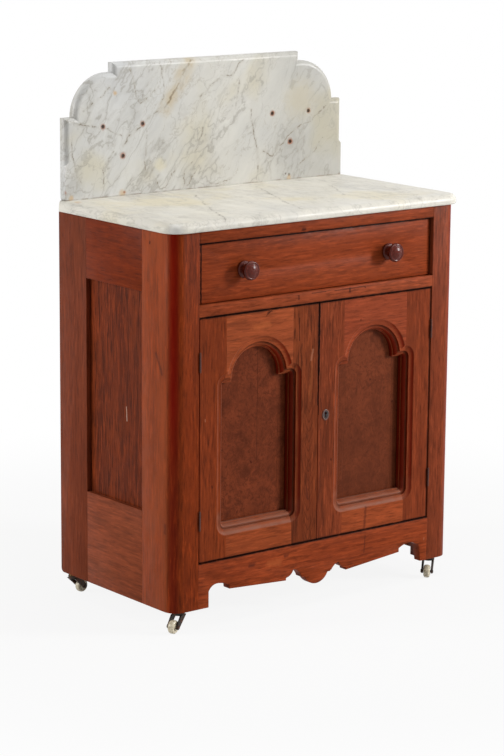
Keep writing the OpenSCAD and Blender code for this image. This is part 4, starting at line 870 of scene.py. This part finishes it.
# The veins that stand out, as half widths and points on the stone's face
SPLASH_VEINS = [
    (0.0012, [(-0.3653, 0.967), (-0.3300, 0.952), (-0.2679, 0.9412)]),
    (0.0012, [(-0.2558, 0.9384), (-0.2170, 0.9219)]),
    (0.0016, [(-0.111, 0.971), (-0.153, 0.954), (-0.170, 0.939), (-0.202, 0.919),
              (-0.212, 0.902)]),
    (0.0016, [(0.314, 0.954), (0.273, 0.925), (0.230, 0.909), (0.203, 0.890), (0.166, 0.854),
              (0.140, 0.865)]),
    (0.0015, [(0.301, 0.885), (0.280, 0.857), (0.242, 0.834)]),
    (0.0014, [(0.110, 0.954), (0.113, 0.916), (0.129, 0.870), (0.127, 0.811)]),
    (0.0013, [(-0.148, 0.875), (-0.143, 0.838), (-0.121, 0.808), (-0.106, 0.813),
              (-0.083, 0.852)]),
    (0.0013, [(-0.015, 0.925), (-0.040, 0.861), (-0.063, 0.838), (-0.063, 0.810)]),
    (0.0011, [(-0.335, 0.928), (-0.335, 0.882), (-0.317, 0.832)]),
    (0.0012, [(-0.311, 0.979), (-0.265, 1.002), (-0.246, 1.019)]),
    (0.0012, [(-0.195, 1.056), (-0.180, 1.001), (-0.170, 0.983), (-0.128, 1.012)]),
    (0.0012, [(-0.023, 0.990), (0.018, 1.021), (0.054, 1.027), (0.088, 1.058)]),
    (0.0011, [(0.080, 1.017), (0.070, 0.960)]),
    (0.0011, [(0.150, 0.858), (0.161, 0.836), (0.162, 0.809)]),
    (0.0010, [(0.001, 0.858), (-0.022, 0.823)]),
    (0.0011, [(-0.158, 0.942), (-0.160, 0.890), (-0.158, 0.839)]),
    (0.0011, [(-0.239, 0.891), (-0.263, 0.861), (-0.261, 0.817)]),
    (0.0011, [(-0.123, 1.056), (-0.113, 1.008), (-0.123, 0.980)]),
    (0.0011, [(-0.057, 0.809), (-0.032, 0.840), (-0.022, 0.852)]),
    (0.0010, [(-0.001, 0.813), (0.020, 0.807), (0.061, 0.818)]),
]
BROWN_VEINS = [(0.0032, [(-0.041, 1.072), (-0.078, 1.016), (-0.111, 0.971)])]
TOP_VEINS = [
    (0.0013, [(-0.091, 0.108, TOP_Z), (-0.200, -0.101, TOP_Z), (-0.250, -0.206, TOP_Z)]),
    (0.0013, [(0.086, 0.128, TOP_Z), (-0.005, -0.073, TOP_Z), (-0.036, -0.167, TOP_Z)]),
    (0.0011, [(0.227, 0.066, TOP_Z), (0.157, -0.065, TOP_Z)]),
]

# Rust round the bracket holes, and what is left of the old bedding along the foot
RUST = srgb(150, 82, 30)
OCHRE = srgb(196, 158, 96)
BRACKET_X = 0.2145                  # upright middle line of each bracket
# holes of a bracket: distance from that line, height above the slab, radius of the rust
BRACKET_HOLES = [(-0.0485, 0.1415, 0.0062), (0.0485, 0.1415, 0.0062), (0.0, 0.0800, 0.0072)]
stains = [((side * (BRACKET_X + step), SPLASH_FACE, TOP_Z + height), radius, RUST, 0.95)
          for side in (-1, 1) for step, height, radius in BRACKET_HOLES]
stains += [((-0.2337, SPLASH_FACE, 1.0084), 0.0050, OCHRE, 0.65),
           ((-0.3548, SPLASH_FACE, 0.8187), 0.0045, RUST, 0.60),
           ((-0.3400, SPLASH_FACE, 0.8060), 0.0060, OCHRE, 0.60),
           ((-0.2160, SPLASH_FACE, 0.8070), 0.0080, OCHRE, 0.55),
           ((-0.2120, SPLASH_FACE, 0.8090), 0.0030, RUST, 0.80),
           ((-0.1232, SPLASH_FACE, 0.8570), 0.0150, srgb(212, 204, 176), 0.60),
           ((0.2402, SPLASH_FACE, 0.9700), 0.0420, srgb(186, 176, 150), 0.55),
           ((0.2125, SPLASH_FACE, 0.8120), 0.0035, srgb(84, 74, 62), 0.75),
           ((0.2030, SPLASH_FACE, 0.8150), 0.0024, srgb(84, 74, 62), 0.75),
           ((0.2125, SPLASH_FACE, 0.8060), 0.0060, OCHRE, 0.50)]
top_stains_and_painted_light = [((-0.3400, 0.1600, TOP_Z), 0.0080, OCHRE, 0.70),
              ((-0.3500, 0.1450, TOP_Z - 0.004), 0.0060, RUST, 0.45),
              ((-0.2409, -0.2005, 0.7885), 0.0075, srgb(122, 116, 106), 0.70),
              ((-0.2209, -0.2005, 0.7835), 0.0060, srgb(132, 124, 112), 0.60),
              ((0.1459, -0.2005, 0.7906), 0.0060, srgb(140, 134, 124), 0.50),
              ((0.2526, -0.1842, 0.802), 0.0050, srgb(150, 142, 130), 0.45),
              ((-0.0154, -0.2005, 0.7886), 0.0050, srgb(140, 134, 124), 0.45),
              # a painted light patch that lifts the shade on the slab's rounded corner
              ((-0.3570, -0.1840, 0.7900), 0.0165, srgb(250, 248, 242), 0.80)]
paint(NODES["backsplash"], marble(
    "splash_marble", 1.0, (0.0, math.radians(-35), 0.0), srgb(196, 194, 187),
    [(width, on_splash(points)) for width, points in SPLASH_VEINS],
    [(width, on_splash(points)) for width, points in BROWN_VEINS], stains, TOP_Z,
    # the right end darkened as painted shade
    left_tint=(1.04, 1.06, 1.11), right_painted_shade=(0.80, 0.80, 0.79)))
paint(NODES["marble_top"], marble(
    "top_marble", 2.0, (math.radians(90), 0.0, math.radians(35)), srgb(216, 212, 201),
    TOP_VEINS, (), top_stains_and_painted_light, strength=0.55))


# ---------- studio ----------

def area_lamp(name, place, target, size, power, colour=(1, 1, 1)):
    lamp = bpy.data.lights.new(name, "AREA")
    lamp.shape = "RECTANGLE"
    lamp.size, lamp.size_y = size
    lamp.energy = power
    lamp.color = colour
    holder = bpy.data.objects.new(name, lamp)
    bpy.context.scene.collection.objects.link(holder)
    holder.location = place
    holder.rotation_euler = (Vector(target) - Vector(place)).to_track_quat("-Z", "Y").to_euler()


MIDDLE = (0.0, 0.0, 0.55)
area_lamp("key", (4.0, -3.5, 2.2), MIDDLE, (1.2, 1.7), 272)
area_lamp("overhead", (0.2, -0.4, 3.6), MIDDLE, (2.6, 2.2), 50)
area_lamp("left_side", (-3.4, 1.6, 1.5), MIDDLE, (1.4, 2.2), 92)

WORLD_LEVEL = 0.14                  # strength of the even light from all round


def directly_seen(tree):
    """1 for camera, glossy and transmission rays, and 0 for the light that the scene sheds."""
    paths = tree.nodes.new("ShaderNodeLightPath")
    value = paths.outputs["Is Camera Ray"]
    for ray in ("Is Glossy Ray", "Is Transmission Ray"):
        larger = tree.nodes.new("ShaderNodeMath")
        larger.operation = "MAXIMUM"
        tree.links.new(value, larger.inputs[0])
        tree.links.new(paths.outputs[ray], larger.inputs[1])
        value = larger.outputs[0]
    return value


def studio_world():
    """Plain white to look at, and a low even light."""
    world = bpy.data.worlds.new("studio")
    world.use_nodes = True
    tree = world.node_tree
    tree.nodes.clear()
    light = tree.nodes.new("ShaderNodeBackground")
    light.inputs["Color"].default_value = (1.0, 0.99, 0.97, 1.0)
    light.inputs["Strength"].default_value = WORLD_LEVEL
    backdrop = tree.nodes.new("ShaderNodeBackground")
    backdrop.inputs["Color"].default_value = (1.0, 1.0, 1.0, 1.0)
    backdrop.inputs["Strength"].default_value = 1.0
    choice = tree.nodes.new("ShaderNodeMixShader")
    output = tree.nodes.new("ShaderNodeOutputWorld")
    tree.links.new(directly_seen(tree), choice.inputs["Fac"])
    tree.links.new(light.outputs[0], choice.inputs[1])
    tree.links.new(backdrop.outputs[0], choice.inputs[2])
    tree.links.new(choice.outputs[0], output.inputs["Surface"])
    return world


bpy.context.scene.world = studio_world()

SHADOW_NEAR = (0.75, 1.5)           # the floor turns plain white between these distances
SHADOW_SHARE = 0.11                 # how much of the lit floor shows under the object


def floor_material():
    """Pale floor: lit and shadowed near the object, plain white further out."""
    n = Nodes("pale_floor")
    radius = n.vector("LENGTH", n.mapped(scale=(1.0, 1.0, 0.0)), None, "Value")
    near = n.remap(radius, *SHADOW_NEAR, 1.0, 0.0)
    speck = n.noise(n.coord, 60.0, 2.0)
    colour = n.mix(n.math("MULTIPLY", speck, 0.02), (0.66, 0.66, 0.66), (0.62, 0.62, 0.62))
    lit = n.add("ShaderNodeBsdfDiffuse")
    n.put(lit.inputs["Color"], colour)
    glow = n.add("ShaderNodeEmission")
    n.put(glow.inputs["Color"], (1.0, 1.0, 1.0, 1.0))
    n.put(glow.inputs["Strength"], 1.0)
    part = n.math("MULTIPLY", directly_seen(n.tree), n.math(
        "SUBTRACT", 1.0, n.math("MULTIPLY", near, SHADOW_SHARE)))
    mixed = n.add("ShaderNodeMixShader")
    n.put(mixed.inputs["Fac"], part)
    n.put(mixed.inputs[1], lit.outputs[0])
    n.put(mixed.inputs[2], glow.outputs[0])
    output = n.add("ShaderNodeOutputMaterial")
    n.put(output.inputs["Surface"], mixed.outputs[0])
    return n.material


FLOOR_HALF = 30                     # half the floor's side
floor_mesh = bpy.data.meshes.new("floor")
floor_mesh.from_pydata([(x * FLOOR_HALF, y * FLOOR_HALF, 0)
                        for x, y in ((-1, -1), (1, -1), (1, 1), (-1, 1))], [], [(0, 1, 2, 3)])
floor = bpy.data.objects.new("floor", floor_mesh)
bpy.context.scene.collection.objects.link(floor)
paint(floor, floor_material())


# ---------- camera, as solved from the photograph ----------

FOCAL_PX = 2619.66                  # focal length in pixels of the photograph
PHOTO_H = 756.0                     # its height in pixels
YAW = 0.668623
PITCH = 0.209649
ROLL = 0.008037
SENSOR_H = 36.0
# measured from the lower front left corner of the case
EYE = Vector((-2.8780 - CASE_X, -3.8834 + CASE_Y, 1.4963 + CASE_Z))

ahead = Vector((math.sin(YAW) * math.cos(PITCH), math.cos(YAW) * math.cos(PITCH), -math.sin(PITCH)))
level = Vector((math.cos(YAW), -math.sin(YAW), 0.0))
upright = level.cross(ahead)
right = level * math.cos(ROLL) + upright * math.sin(ROLL)
up = upright * math.cos(ROLL) - level * math.sin(ROLL)
camera_data = bpy.data.cameras.new("camera")
camera_data.sensor_fit = "VERTICAL"
camera_data.sensor_height = SENSOR_H
camera_data.lens = FOCAL_PX * SENSOR_H / PHOTO_H
camera_data.clip_end = 100.0
camera = bpy.data.objects.new("camera", camera_data)
bpy.context.scene.collection.objects.link(camera)
turn = Matrix((right, up, -ahead)).transposed().to_4x4()
camera.matrix_world = Matrix.Translation(EYE) @ turn
bpy.context.scene.camera = camera
bpy.context.scene.view_settings.view_transform = "Standard"
